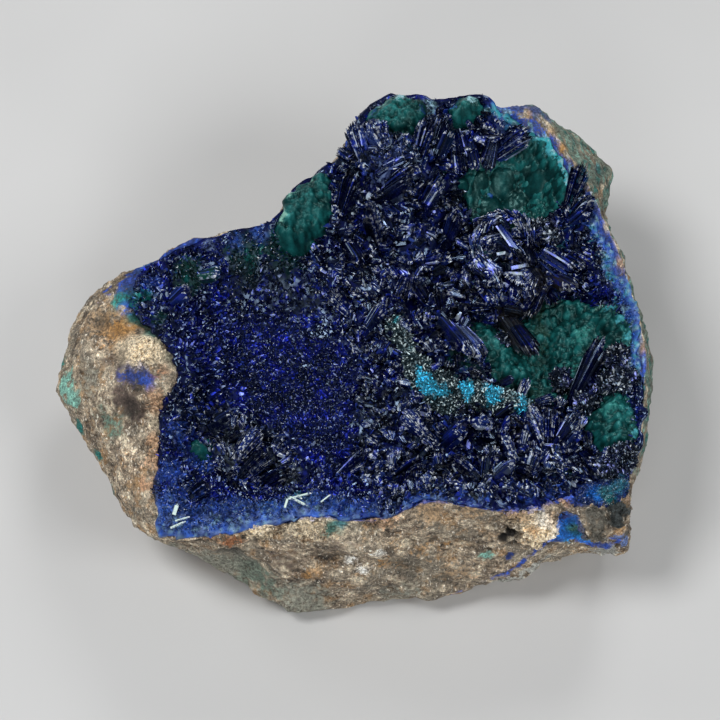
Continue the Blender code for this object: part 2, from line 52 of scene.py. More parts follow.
# The rock's side at stations round it, anticlockwise from the right: rim, belly and foot (which is at z = 0).
SIDE = [
    ((41.5, -7.0, 27.0), (43.0, -4.5, 19.0), (36.5, 0.0)),
    ((39.5, 3.5, 29.0), (40.5, 6.5, 20.0), (35.5, 9.5)),
    ((36.0, 13.0, 30.5), (37.0, 16.5, 22.0), (31.0, 17.5)),
    ((32.0, 22.0, 32.0), (37.2, 26.0, 25.0), (27.5, 24.5)),
    ((26.5, 30.5, 33.0), (31.0, 33.0, 25.0), (22.0, 29.0)),
    ((20.0, 31.5, 33.0), (21.5, 36.0, 20.0), (14.0, 29.5)),
    ((12.0, 32.5, 32.5), (12.5, 36.5, 18.0), (8.0, 29.5)),
    ((2.5, 32.5, 31.5), (1.5, 35.5, 18.0), (0.0, 27.5)),
    ((-1.5, 28.5, 30.0), (-2.5, 31.5, 17.0), (-6.0, 24.5)),
    ((-3.5, 24.5, 28.0), (-7.5, 27.5, 16.0), (-11.0, 22.0)),
    ((-9.5, 20.5, 26.5), (-11.5, 24.0, 15.0), (-15.0, 20.0)),
    ((-12.5, 15.5, 25.5), (-16.0, 19.5, 15.0), (-19.5, 17.5)),
    ((-19.5, 14.0, 25.5), (-21.0, 18.5, 15.0), (-24.0, 16.0)),
    ((-26.0, 13.0, 24.5), (-27.5, 16.0, 15.0), (-28.0, 13.0)),
    ((-31.5, 10.0, 23.0), (-33.5, 13.5, 14.0), (-31.5, 9.5)),
    ((-37.0, 8.0, 21.0), (-41.0, 10.0, 13.0), (-34.5, 5.5)),
    ((-40.5, 1.5, 20.0), (-44.0, 2.0, 12.0), (-36.5, 1.0)),
    ((-41.5, -5.5, 19.0), (-45.8, -5.0, 12.0), (-37.0, -4.5)),
    ((-39.5, -12.0, 18.0), (-42.6, -10.0, 11.0), (-36.0, -9.5)),
    ((-36.2, -18.2, 17.5), (-39.2, -15.2, 10.0), (-34.0, -15.5)),
    ((-32.5, -26.5, 17.5), (-35.5, -22.5, 10.0), (-30.0, -21.0)),
    ((-28.5, -32.5, 18.0), (-31.0, -29.0, 11.0), (-25.5, -25.5)),
    ((-22.5, -34.0, 20.0), (-24.5, -31.5, 10.0), (-20.0, -28.5)),
    ((-14.5, -33.0, 21.5), (-17.5, -33.5, 5.0), (-14.5, -33.0)),
    ((-5.5, -32.0, 22.5), (-9.0, -37.0, 3.0), (-8.0, -36.0)),
    ((2.0, -32.5, 22.5), (3.5, -35.5, 3.0), (3.5, -34.0)),
    ((9.5, -31.0, 25.0), (13.5, -35.0, 4.0), (12.0, -32.5)),
    ((15.0, -31.5, 25.0), (21.0, -34.0, 6.0), (19.5, -29.5)),
    ((21.5, -31.5, 23.0), (26.0, -32.0, 8.0), (25.5, -27.0)),
    ((29.0, -30.0, 21.0), (32.0, -30.8, 9.0), (30.0, -26.0)),
    ((35.0, -31.5, 18.5), (37.0, -31.5, 10.0), (34.0, -24.5)),
    ((38.3, -31.3, 18.0), (39.2, -30.0, 11.5), (36.5, -21.5)),
    ((39.0, -26.5, 20.0), (39.8, -24.0, 13.0), (37.5, -15.0)),
    ((40.8, -18.0, 24.0), (42.2, -13.0, 16.0), (37.5, -8.0)),
]

# Heights of the rock's upper face inside its rim.
FLOOR = [
    (-10.5, -5.5, 13.0), (-18.5, 1.5, 16.0), (-20.0, -12.0, 14.5), (-9.0, -16.0, 14.0), (-0.5, -9.5, 15.5),
    (-21.0, 8.0, 19.5), (-10.5, 10.5, 18.0), (-3.0, 15.5, 21.5), (4.5, 22.0, 29.0), (10.5, 18.5, 23.5),
    (5.0, 11.0, 19.0), (13.5, 14.0, 18.5), (10.5, 3.0, 19.5), (22.0, 22.5, 21.5), (28.5, 21.5, 25.0),
    (21.5, 11.0, 23.0), (30.5, 11.5, 23.5), (35.5, 2.5, 22.5), (34.0, -2.0, 18.5), (25.0, -1.5, 18.0),
    (37.0, -16.0, 20.0), (16.0, -11.5, 20.0), (6.5, -7.5, 19.5), (11.5, -16.0, 15.5), (22.0, -18.0, 17.0),
    (30.5, -18.0, 17.5), (2.0, -21.5, 16.0), (-24.0, -21.5, 16.5), (-14.5, -26.0, 16.5), (-3.0, -26.0, 17.0),
    (30.5, -26.0, 18.0), (-31.0, -6.0, 24.5), (-27.0, -6.5, 24.5), (-30.5, -13.5, 23.0),
    (-31.5, -20.5, 21.0), (-35.5, -2.5, 22.5), (-36.5, -11.5, 20.5), (-34.5, 2.0, 23.0), (-31.0, -28.0, 19.0),
]

# The rock's coarse relief: bumps of its side, slanting ledges, and bumps of the upper face where it is bare.
ROUGHNESS = 0.9
LEDGE_HEIGHT = 8.0
LEDGE_DEPTH = 0.6
BARE_ROUGHNESS = 1.1
BARE_MARGIN = 1.2  # between the crust and the first of those bumps

# The azurite crust's edge in plan.
CRUST_EDGE = [
    (41.0, -1.5), (38.0, 5.5), (35.5, 12.5), (32.0, 19.0), (29.5, 24.0), (26.5, 28.0), (21.0, 31.0),
    (17.0, 32.0), (10.5, 32.2), (4.5, 33.2), (-0.5, 30.0), (-2.0, 25.5), (-5.5, 23.0), (-9.5, 20.0),
    (-12.5, 15.0), (-18.5, 13.5), (-25.0, 12.0), (-29.5, 10.0), (-32.0, 8.0), (-34.0, 3.0), (-31.0, -2.0),
    (-27.5, -6.5), (-26.5, -10.0), (-29.0, -13.0), (-29.0, -18.5), (-30.0, -24.0), (-29.5, -29.0),
    (-29.0, -32.5), (-23.0, -34.0), (-14.0, -33.0), (-5.5, -32.0), (2.0, -32.5), (6.5, -31.5),
    (9.5, -30.5), (13.5, -31.0), (18.0, -31.5), (23.0, -31.0), (26.5, -29.5), (31.0, -26.5), (35.5, -25.0),
    (39.0, -24.0), (41.0, -19.5), (41.5, -13.5), (40.5, -8.0),
]
CRUST_DEPTH = 2.5  # of its bed over the rock
CRUST_EDGE_DEPTH = 1.0
CRUST_EDGE_RAMP = 2.5  # how far in from its edge the bed has its full depth
CRUST_LUMPS = 1.2  # how far the bed swells and sinks
BED_DROP = 0.8  # how far the rock is cut down under the crust
SMOOTH_BOWL = (-10.0, -9.0, 14.0)  # where the bed has no swells: centre in plan and radius

# Malachite: edge in plan, bed depth, and the radius from which its lumps are lobes.
MALACHITE = {
    "malachite_upper_pocket": ([
        (16.5, 25.0), (21.0, 26.5), (26.0, 26.0), (29.5, 24.0), (31.0, 20.5), (28.0, 18.5), (26.0, 17.0),
        (21.0, 17.0), (18.0, 17.5), (15.5, 21.5),
    ], 1.8, 0.9),
    "malachite_right_pocket": ([
        (29.5, 2.0), (34.5, 2.5), (38.0, 0.0), (38.8, -5.0), (36.5, -8.5), (33.5, -10.0), (29.5, -9.0),
        (27.5, -4.5), (28.0, 0.0),
    ], 2.8, 0.9),
    "malachite_middle": ([
        (17.5, 0.0), (20.5, 0.0), (23.5, -2.5), (25.5, -6.0), (25.5, -8.5), (22.0, -8.5), (19.0, -6.0),
        (17.0, -3.0),
    ], 2.4, 0.7),
    "malachite_lower_right": ([
        (34.5, -12.5), (38.0, -12.0), (39.3, -14.5), (39.0, -18.5), (37.5, -21.5), (35.0, -20.5),
        (33.0, -16.5), (32.8, -14.0),
    ], 3.0, 0.9),
    "malachite_left_rim": ([
        (-12.3, 16.0), (-10.5, 19.8), (-7.5, 22.3), (-4.5, 22.5), (-4.0, 19.0), (-5.0, 15.5), (-9.0, 12.5),
        (-12.0, 13.0),
    ], 2.4, 0.8),
    "malachite_top_left_rim": ([
        (1.5, 31.5), (5.0, 33.3), (9.5, 32.5), (10.0, 29.5), (7.5, 27.0), (3.5, 27.0), (1.0, 29.0),
    ], 2.4, 0.7),
    "malachite_top_rim": ([
        (13.0, 31.5), (16.0, 32.7), (18.5, 31.8), (17.5, 29.3), (13.5, 29.0),
    ], 2.6, 0.7),
}

# Bundles of azurite blades: root in plan, heading in degrees from +X, length and width of the bundle, and how
# far its tips rise over the crust.
BUNDLES = [
    (22.0, 15.0, -150, 4.5, 2.0, 1.5), (19.0, 12.5, -115, 5.0, 2.0, 1.5), (17.5, 9.0, -70, 4.5, 2.0, 1.0),
    (18.5, 5.5, -60, 4.0, 2.5, 1.0), (25.0, 12.0, -80, 4.5, 2.0, 1.5), (26.0, 7.5, -115, 4.5, 2.5, 1.0),
    (20.5, 14.5, -60, 7.5, 2.5, 2.0), (21.5, 1.5, -60, 9.0, 3.0, 2.5), (31.0, -11.5, 55, 8.0, 2.0, 4.0),
    (13.0, 0.5, -60, 9.5, 4.5, 2.5), (14.0, 28.5, -80, 6.0, 2.0, 1.0), (16.0, 28.0, -75, 5.0, 2.0, 1.0),
    (20.0, 28.0, -105, 5.0, 2.0, 1.0), (20.5, 26.5, 15, 5.0, 3.0, 2.0), (2.0, 19.0, 25, 6.5, 3.5, 1.5),
    (9.0, 17.5, 50, 5.0, 2.5, 2.0), (0.5, 24.0, 110, 5.0, 2.5, 1.5), (3.5, 25.0, 120, 4.0, 2.5, 1.5),
    (8.5, 24.0, 70, 4.5, 2.5, 2.0), (11.0, 24.0, 65, 5.0, 2.5, 2.0), (-1.0, 24.0, 150, 3.0, 2.0, 1.0),
    (28.0, 8.0, -40, 5.5, 2.0, 1.5), (27.5, 7.0, -120, 7.5, 2.5, 1.0), (30.5, 14.5, 15, 4.0, 2.5, 1.5),
    (29.5, 11.5, -50, 6.0, 2.5, 1.0), (31.0, 17.0, 60, 4.0, 2.0, 1.0), (27.0, -18.5, 120, 4.5, 3.0, 3.0),
    (27.5, -18.5, 85, 4.5, 3.0, 3.0), (28.5, -19.0, 40, 4.5, 3.0, 3.0), (31.5, -19.0, -60, 6.5, 2.5, 1.5),
    (17.5, -27.0, 140, 5.0, 2.0, 2.5), (18.0, -27.0, 80, 4.5, 2.0, 3.0), (18.5, -27.0, 40, 5.0, 2.0, 2.5),
    (20.5, -23.5, -30, 5.0, 2.0, 1.5), (7.5, 10.5, -100, 6.5, 2.5, 1.5), (10.5, 4.5, 130, 4.0, 2.5, 1.5),
    (-17.5, -22.5, 35, 5.5, 2.5, 2.0), (-18.5, -19.5, 50, 6.0, 2.5, 2.0), (-14.5, -24.0, 15, 4.5, 2.5, 2.0),
    (-22.5, -15.0, 35, 4.5, 2.0, 1.5), (-3.0, 17.5, 60, 4.0, 2.0, 2.0), (-2.0, 14.5, -60, 5.0, 2.0, 1.5),
    (10.0, -16.5, 145, 4.5, 2.0, 2.0), (11.5, -18.0, 20, 4.5, 2.5, 2.0), (0.5, 0.5, 45, 4.5, 2.0, 2.0),
    (-1.5, 5.0, 150, 3.5, 2.0, 2.0), (3.0, 13.5, 115, 4.0, 2.0, 2.0), (12.5, 14.5, 60, 4.0, 2.0, 2.0),
    (-28.0, 2.5, 40, 3.5, 2.0, 1.5), (-24.0, 8.0, 5, 3.5, 2.0, 1.0), (-3.0, -22.5, 25, 4.0, 2.0, 2.0),
    (5.0, -24.5, 15, 4.0, 2.0, 2.0), (-25.0, -28.0, 30, 4.0, 2.5, 1.5), (24.0, -25.5, 70, 4.0, 2.0, 2.0),
]
BLADE_SINK = 0.8  # how far a root is under the bed
TIP_RISE = 0.7  # of every bundle, besides its own rise

# ---- what only the looks have

# The rock's points: columns for each station, and rows under the crust, where it is bare, down to the belly,
# down to the foot, and in on the underside, as shares of the foot's distance from the hub.
COLUMNS_PER_STATION = 15
HIDDEN_ROWS, BARE_ROWS, UPPER_ROWS, LOWER_ROWS = 12, 26, 46, 20
UNDERSIDE_ROWS = (0.97, 0.9, 0.75, 0.5, 0.25)

# Bumps and hollows of the broken rock: place, radius and height.
ROCK_BUMPS = [
    (34.2, -30.6, 17.2, 2.3, 1.0), (24.0, -31.0, 19.6, 2.4, 1.0), (26.8, -30.8, 18.6, 2.4, 1.3),
    (25.2, -31.4, 16.8, 2.2, 0.9), (30.6, -30.8, 16.6, 2.4, -0.5), (22.2, -32.0, 18.2, 1.1, -1.9),
    (20.9, -32.6, 16.8, 0.8, -1.2), (22.6, -32.2, 15.2, 0.9, -1.4), (21.6, -31.0, 23.4, 1.2, 0.8),
    (27.3, -30.4, 19.8, 1.1, 0.8), (27.4, -31.2, 17.0, 1.0, 0.7), (25.4, -31.9, 14.8, 1.0, 0.7),
    (23.4, -32.0, 16.8, 1.0, 0.6), (25.4, -30.8, 21.0, 0.8, -0.9), (24.6, -31.5, 17.0, 0.7, -1.0),
    (26.2, -31.0, 18.4, 0.6, -0.8), (23.2, -31.2, 20.4, 0.8, -0.8), (33.4, -30.0, 18.4, 1.8, 0.7),
    (31.9, -30.9, 14.8, 1.0, -0.8), (29.0, -30.6, 19.2, 1.0, -0.6), (18.8, -33.0, 13.5, 0.7, -0.6),
    (-33.5, -13.6, 21.8, 2.0, -0.7), (-36.8, -9.5, 21.0, 3.0, 0.6), (-38.5, -3.0, 20.5, 3.2, 0.5),
    (-36.2, -16.5, 18.8, 2.8, 0.6), (-35.8, 4.0, 21.6, 2.6, 0.5), (-31.5, -5.6, 24.4, 3.0, 0.5),
    (-37.8, 1.2, 20.8, 1.6, -0.6), (-32.5, -11.2, 23.0, 1.2, -0.5), (-33.5, -20.5, 18.5, 2.4, 0.5),
    (-12.0, -34.0, 16.0, 3.0, 0.5), (0.5, -33.8, 17.0, 3.4, 0.5), (8.5, -33.0, 19.0, 3.0, 0.4),
    (-19.0, -33.2, 13.5, 2.4, -0.6), (7.0, -34.4, 10.5, 2.6, -0.5), (-4.5, -34.6, 13.0, 2.2, -0.5),
]
# Crumbly places on the rock: place and radius.
CRUMBLY = [
    (24.2, -31.2, 18.6, 3.2), (27.0, -30.8, 18.0, 3.0), (25.6, -31.4, 16.0, 2.6), (22.8, -31.2, 21.6, 2.4),
    (-31.5, -6.5, 24.2, 2.8), (-14.0, -33.0, 20.0, 2.6), (-7.0, -32.8, 20.5, 2.6), (3.0, -32.3, 21.8, 2.4),
    (-19.0, -33.2, 18.6, 2.2), (-30.0, -20.0, 20.5, 1.8), (33.6, -30.9, 17.2, 2.2), (37.2, -28.8, 18.6, 1.8),
    (29.6, -27.6, 19.0, 1.8), (-30.2, -13.5, 22.4, 1.6),
]

# How long a typical crystal is, in millimetres, about each place of the crust.
SIZES = [
    (-10.0, -9.0, 0.44), (-16.0, -4.0, 0.46), (-4.0, -14.0, 0.46), (-8.0, 0.0, 0.50), (-5.0, -7.0, 0.45),
    (-20.0, -8.0, 0.75), (-25.0, 0.0, 0.75), (-28.0, 5.0, 0.80), (-18.0, 8.0, 0.75), (-10.0, 9.0, 0.85),
    (-17.0, 1.0, 0.55), (0.0, 10.0, 1.15), (1.0, 0.0, 0.95), (3.0, -10.0, 1.1), (-19.0, -17.0, 1.5),
    (-14.0, -21.0, 1.2), (-24.0, -26.0, 0.65), (-12.0, -28.0, 0.50), (0.0, -28.0, 0.80), (-4.0, -20.0, 0.7),
    (8.0, -22.0, 1.6), (16.0, -22.0, 2.0), (24.0, -22.0, 2.0), (30.0, -20.0, 1.8), (10.0, -16.0, 1.5),
    (2.0, -20.0, 1.2), (12.0, 8.0, 1.8), (22.0, 8.0, 2.3), (28.0, 10.0, 2.0), (16.0, 20.0, 1.6),
    (4.0, 26.0, 1.4), (8.0, 18.0, 1.5), (-2.0, 18.0, 1.2), (20.0, 28.0, 1.6), (31.0, 17.0, 1.4),
    (35.0, 8.0, 0.9), (39.0, 0.0, 0.6), (38.0, -12.0, 0.8), (35.0, -22.0, 1.2), (14.0, 0.0, 1.6),
    (-24.0, -14.0, 1.0), (-27.0, -20.0, 0.8), (8.0, -28.0, 1.0), (20.0, -29.0, 1.1), (29.0, -26.0, 1.0),
]
SIZE_SPREAD = 14.0  # square of how far such a place has its say
BED_STEP = 0.42  # between the points of the crust's bed
EDGE_STEP = 0.4  # along its edge
BED_SINK = 0.55  # the bed lies this far under the solid's, and its crystals fill the height
BED_BACK = 0.45  # how far its underside is in the rock

# Scattered crystals: how many stand on a square metre, the smallest and the largest in millimetres (width,
# thickness and length), how far they lean in radians, and the seed.
SCATTERED = {
    "druse_fine": (2.9e6, (0.35, 0.20, 0.55), (0.78, 0.42, 1.30), 0.85, 3),
    "druse_coarse": (2.4e6, (0.35, 0.20, 0.55), (0.78, 0.42, 1.30), 1.0, 8),
    "corner_powder": (1.1e8, (0.12, 0.10, 0.16), (0.30, 0.24, 0.42), 1.0, 17),
    "chrysocolla_points": (2.2e7, (0.14, 0.11, 0.18), (0.34, 0.28, 0.62), 0.9, 12),
    "dark_druse": (9e6, (0.20, 0.15, 0.30), (0.50, 0.36, 0.90), 0.9, 15),
    "rock_crumbs": (5.5e6, (0.25, 0.22, 0.16), (0.75, 0.60, 0.55), 1.3, 31),
}

# Sheaves of blades, small books or open fans, over the rougher parts of the crust.
SHEAF_SIZE = 0.9  # they grow where crystals are longer than this
SHEAF_SPACING = 0.74  # for the crystals' length there
SHEAF_TRIES = 14000
SHEAF_REACH = 2.2  # the highest that one stands over the bed
FANNED_SHARE = 0.45  # of all sheaves
SHEAF_SHADES = (0.12, 0.3, 0.5, 0.68)
# The lightest shades reach partway into the painted glint at the top of the blade ramp.
PALEST_BLADE = 0.962  # the lightest shade of a blade in a sheaf or bundle
# Layers of blades in a bundle: where they start along it, how far under its middle, and their share of its
# length. The last is only in a wide bundle.
BUNDLE_LAYERS = ((0.0, 0.0, 1.0), (0.05, 0.75, 0.8), (0.3, -0.35, 0.55))
WIDE_BUNDLE = 2.5
BUNDLE_BLADE = 0.2  # thickness

# The wreath of blades round the small hole: a line in plan, and the hole.
WREATH = [(25.2, 12.6), (25.0, 14.6), (23.8, 16.6), (21.8, 17.6), (19.8, 17.2), (18.3, 15.4), (17.5, 13.2),
          (17.7, 11.2), (18.6, 9.2), (19.9, 7.4), (20.6, 5.4), (20.4, 3.9)]
HOLE = (21.6, 11.0, 1.9, 1.6)  # place in plan, radius and depth
# Layers of blades in the wreath: how far out from its line, and over the bed.
WREATH_LAYERS = ((0.0, 1.9), (0.35, 1.75), (-0.3, 1.5), (0.7, 1.3), (-0.5, 0.9), (0.2, 1.0), (0.95, 0.8),
                 (0.5, 0.4))
# The two highest shades of the wreath's blades are painted glints.
WREATH_SHADES = (0.35, 0.6, 0.85, 0.93, 0.965, 0.99)
# Plates that cross the wreath's hole: from and to in plan, how far over the bed, width and shade. A shade of
# 0.96 or more makes a plate a painted glint.
HOLE_PLATES = [
    (20.8, 15.6, 23.9, 9.4, 2.0, 0.8, 0.75), (21.2, 15.4, 24.4, 9.6, 1.7, 0.9, 0.55),
    (20.4, 15.7, 23.4, 9.3, 1.9, 0.3, 0.98), (20.3, 10.2, 22.9, 10.4, 1.2, 0.5, 1.0),
    (22.4, 7.8, 25.4, 8.7, 1.4, 0.6, 0.97), (22.2, 7.2, 24.9, 7.3, 1.2, 0.5, 1.0),
    (26.6, 9.6, 30.6, 6.8, 2.0, 0.5, 0.8), (27.0, 10.2, 30.9, 7.3, 1.8, 0.6, 0.55),
    (27.3, 10.6, 31.0, 7.9, 2.1, 0.35, 0.96), (26.4, 9.0, 30.0, 6.0, 1.9, 0.3, 0.7),
    (21.8, 13.6, 22.6, 11.0, 0.9, 0.5, 0.4),
]

# Pale needles on the lower edge: from and to in plan, and width.
NEEDLES = [
    (-10.8, -30.9, -10.4, -29.2, 0.36), (-10.4, -29.3, -6.9, -27.6, 0.34), (-10.1, -28.8, -7.4, -31.0, 0.34),
    (-9.0, -28.4, -8.2, -29.9, 0.26), (-27.3, -32.6, -24.8, -32.1, 0.30), (-26.6, -31.9, -24.4, -31.6, 0.24),
    (-26.8, -31.2, -26.3, -29.6, 0.6), (-5.6, -29.8, -4.2, -28.2, 0.26), (20.9, -13.4, 23.4, -12.9, 0.25),
]

# Lobes of malachite that stand out: place in plan and radius.
LOBES = [
    (33.0, -1.2, 1.9), (31.3, 1.0, 1.0), (30.6, -2.9, 1.0), (34.6, 1.2, 1.1), (35.6, -0.9, 1.0),
    (36.2, -3.2, 1.2), (34.6, -4.4, 1.2), (30.2, -5.2, 1.1), (32.3, -4.3, 0.9), (31.4, -7.2, 1.3),
    (34.6, -7.0, 1.2), (37.4, -5.6, 1.0), (36.2, -14.2, 1.7), (37.9, -16.8, 1.6), (35.5, -17.0, 1.3),
    (37.4, -19.4, 1.4), (34.6, -14.6, 0.9), (38.4, -13.9, 1.0), (19.8, 20.2, 2.0), (23.4, 20.8, 2.0),
    (21.4, 23.6, 2.1), (26.2, 22.6, 1.9), (18.0, 23.4, 1.6), (24.6, 18.6, 1.5), (20.8, 18.2, 1.3),
    (28.6, 21.0, 1.4), (25.0, 25.0, 1.3), (27.0, 18.6, 1.1), (19.2, -1.6, 1.4), (21.6, -4.0, 1.5),
    (23.8, -6.8, 1.5), (21.4, -6.6, 1.1), (24.4, -4.9, 1.0), (18.2, -3.3, 0.8), (-10.6, 16.4, 1.5),
    (-7.6, 19.2, 1.5), (-8.4, 15.4, 1.4), (-5.6, 18.0, 1.0), (-6.2, 21.2, 1.1), (4.2, 31.0, 1.5),
    (7.4, 30.4, 1.4), (5.4, 28.6, 1.1), (8.4, 32.0, 0.9), (15.4, 30.9, 1.3), (17.2, 31.2, 0.9),
]
SMOOTH_MALACHITE = "malachite_upper_pocket"  # it has hardly any small lumps
# Thin skins of malachite between and round those pieces: edge in plan, and depth.
SKINS = {
    "malachite_skin_right": [
        (15.2, 1.9), (18.4, 1.2), (21.5, 0.8), (25.0, 3.2), (27.8, 5.4), (32.0, 4.8), (35.0, 3.3),
        (38.0, 1.2), (39.4, -1.5), (39.8, -5.5), (38.8, -8.0), (39.3, -12.0), (40.3, -16.8), (39.6, -20.5),
        (37.5, -22.2), (35.0, -21.4), (33.6, -18.2), (32.6, -15.0), (31.6, -13.0), (29.0, -11.2),
        (26.4, -11.2), (23.5, -10.2), (20.5, -9.0), (18.6, -8.2), (19.3, -5.5), (17.8, -3.0), (16.2, -0.2),
    ],
    "malachite_skin_upper": [
        (15.8, 20.0), (15.4, 24.0), (17.5, 26.8), (21.0, 28.2), (24.0, 29.0), (27.3, 27.6), (29.8, 24.8),
        (31.0, 21.5), (31.0, 18.5), (28.0, 16.6), (25.5, 15.8), (21.0, 16.0), (18.0, 16.8),
    ],
    "malachite_skin_corner": [
        (31.6, -25.4), (33.4, -23.8), (36.4, -23.2), (38.6, -24.4), (38.6, -27.2), (36.0, -28.4),
        (33.4, -28.6), (31.8, -27.4),
    ],
}
SKIN_DEPTH = {"malachite_skin_right": 1.75, "malachite_skin_upper": 1.75, "malachite_skin_corner": 0.7}
# Small round lumps of malachite among the crystals: place in plan, radius and height over the bed.
BUTTONS = [
    (-23.4, -19.0, 2.1, 1.5), (-22.2, -17.4, 1.4, 1.5), (-24.2, -6.1, 0.9, 0.7), (19.8, -22.9, 1.1, 1.4),
    (22.9, -20.2, 0.8, 1.3), (21.0, -17.6, 0.9, 1.0), (18.2, -16.0, 1.2, 0.7), (-25.6, 7.4, 1.4, 0.3),
    (-24.0, 8.4, 1.1, 0.3), (-16.6, 11.0, 1.5, 0.3), (-14.6, 11.8, 1.2, 0.4), (14.6, -5.0, 1.0, 0.8),
    (12.2, 4.4, 0.7, 0.8), (14.0, 25.0, 1.5, 0.6), (12.6, 23.4, 1.2, 0.6), (15.4, 22.6, 1.3, 0.5),
    (23.6, 9.6, 0.8, 1.0), (28.2, -23.2, 1.0, 0.4),
]
SHEET_STEP = 0.2  # between the points of a lumpy sheet
SHEET_SHOULDER = 1.6  # how far in from its edge a sheet has its full height
CLOSEST_LUMPS = 0.66  # their distance for the sum of their radii
LUMP_TRIES = 3500

# Mounds of dark glittering druse: place in plan, radius and how far they stand over their base.
MOUNDS = [
    (29.9, -7.6, 1.7, 0.2), (37.9, -6.8, 1.8, 0.1), (38.6, -10.6, 1.9, 0.3), (33.6, -11.8, 1.8, 0.2),
    (36.6, -9.9, 1.6, 0.2), (38.2, -22.4, 1.9, 0.2), (35.8, -23.0, 1.7, 0.0), (21.2, -2.2, 1.0, 0.4),
    (26.5, 15.0, 1.4, 0.4), (28.4, 13.6, 1.2, 0.4),
]
MOUND_BASE = 2.35  # over the rock
MOUND_HEIGHT = 0.62  # for its radius
MOUND_FOOT = 1.4  # how far a mound goes down under its base
MOUND_COLUMNS, MOUND_RINGS = 28, 8  # of points

# The chrysocolla band: a middle line in plan and its half width there.
BAND = [
    (4.6, 2.0, 1.2), (5.6, 0.0, 1.5), (6.9, -3.5, 1.6), (8.3, -7.0, 2.0), (11.0, -9.6, 2.3),
    (14.5, -11.2, 2.3), (19.0, -11.8, 2.0), (22.5, -11.9, 1.7), (25.6, -12.3, 0.9),
]
BAND_LOW, BAND_HIGH = 0.9, 3.0  # over the rock, at the band's edges and along its middle
BAND_COLUMNS = 34  # points across it

# ---- colours, linear

BRIGHT_BLUE = (0.030, 0.090, 0.47)
VIVID_BLUE = (0.015, 0.16, 0.62)
RIM_BLUE = (0.035, 0.115, 0.52)
VIOLET = (0.065, 0.095, 0.25)
BLUE_HAZE = (0.062, 0.105, 0.32)
SKY = (0.06, 0.52, 0.76)
CYAN = (0.06, 0.32, 0.38)
PALE_CYAN = (0.32, 0.56, 0.62)
POWDER_CYAN = (0.045, 0.38, 0.44)
MINT = (0.22, 0.46, 0.38)
TEAL = (0.012, 0.17, 0.15)
LIGHT_TEAL = (0.030, 0.20, 0.18)
DEEP_BLUE = (0.016, 0.040, 0.20)
GULLY_BLUE = (0.015, 0.26, 0.95)
GULLY_TEAL = (0.05, 0.42, 0.42)
POWDER_BLUE = (0.15, 0.23, 0.50)
DARK_GREEN = (0.004, 0.040, 0.030)
DARK_GREY = (0.008, 0.013, 0.020)
FAN_GREY = (0.080, 0.102, 0.122)
NIGHT_BLUE = (0.005, 0.007, 0.018)
MOSS = (0.020, 0.058, 0.044)
BROWN_BLACK = (0.020, 0.015, 0.012)
STONE_GREY = (0.085, 0.080, 0.065)
SLATE_BLACK = (0.040, 0.048, 0.048)
PALE_GREY = (0.40, 0.40, 0.36)
CREAM = (0.70, 0.59, 0.42)
PEACH = (0.52, 0.34, 0.21)
TAN = (0.42, 0.29, 0.17)
OCHRE = (0.36, 0.19, 0.06)
RUST = (0.34, 0.15, 0.07)
BROWN = (0.10, 0.07, 0.055)
SLATE = (0.25, 0.25, 0.20)
GREY_GREEN = (0.11, 0.17, 0.13)
WALL_GREEN = (0.175, 0.215, 0.170)
NEEDLE_GREEN = (0.55, 0.68, 0.62)
WHITE = (0.78, 0.76, 0.70)
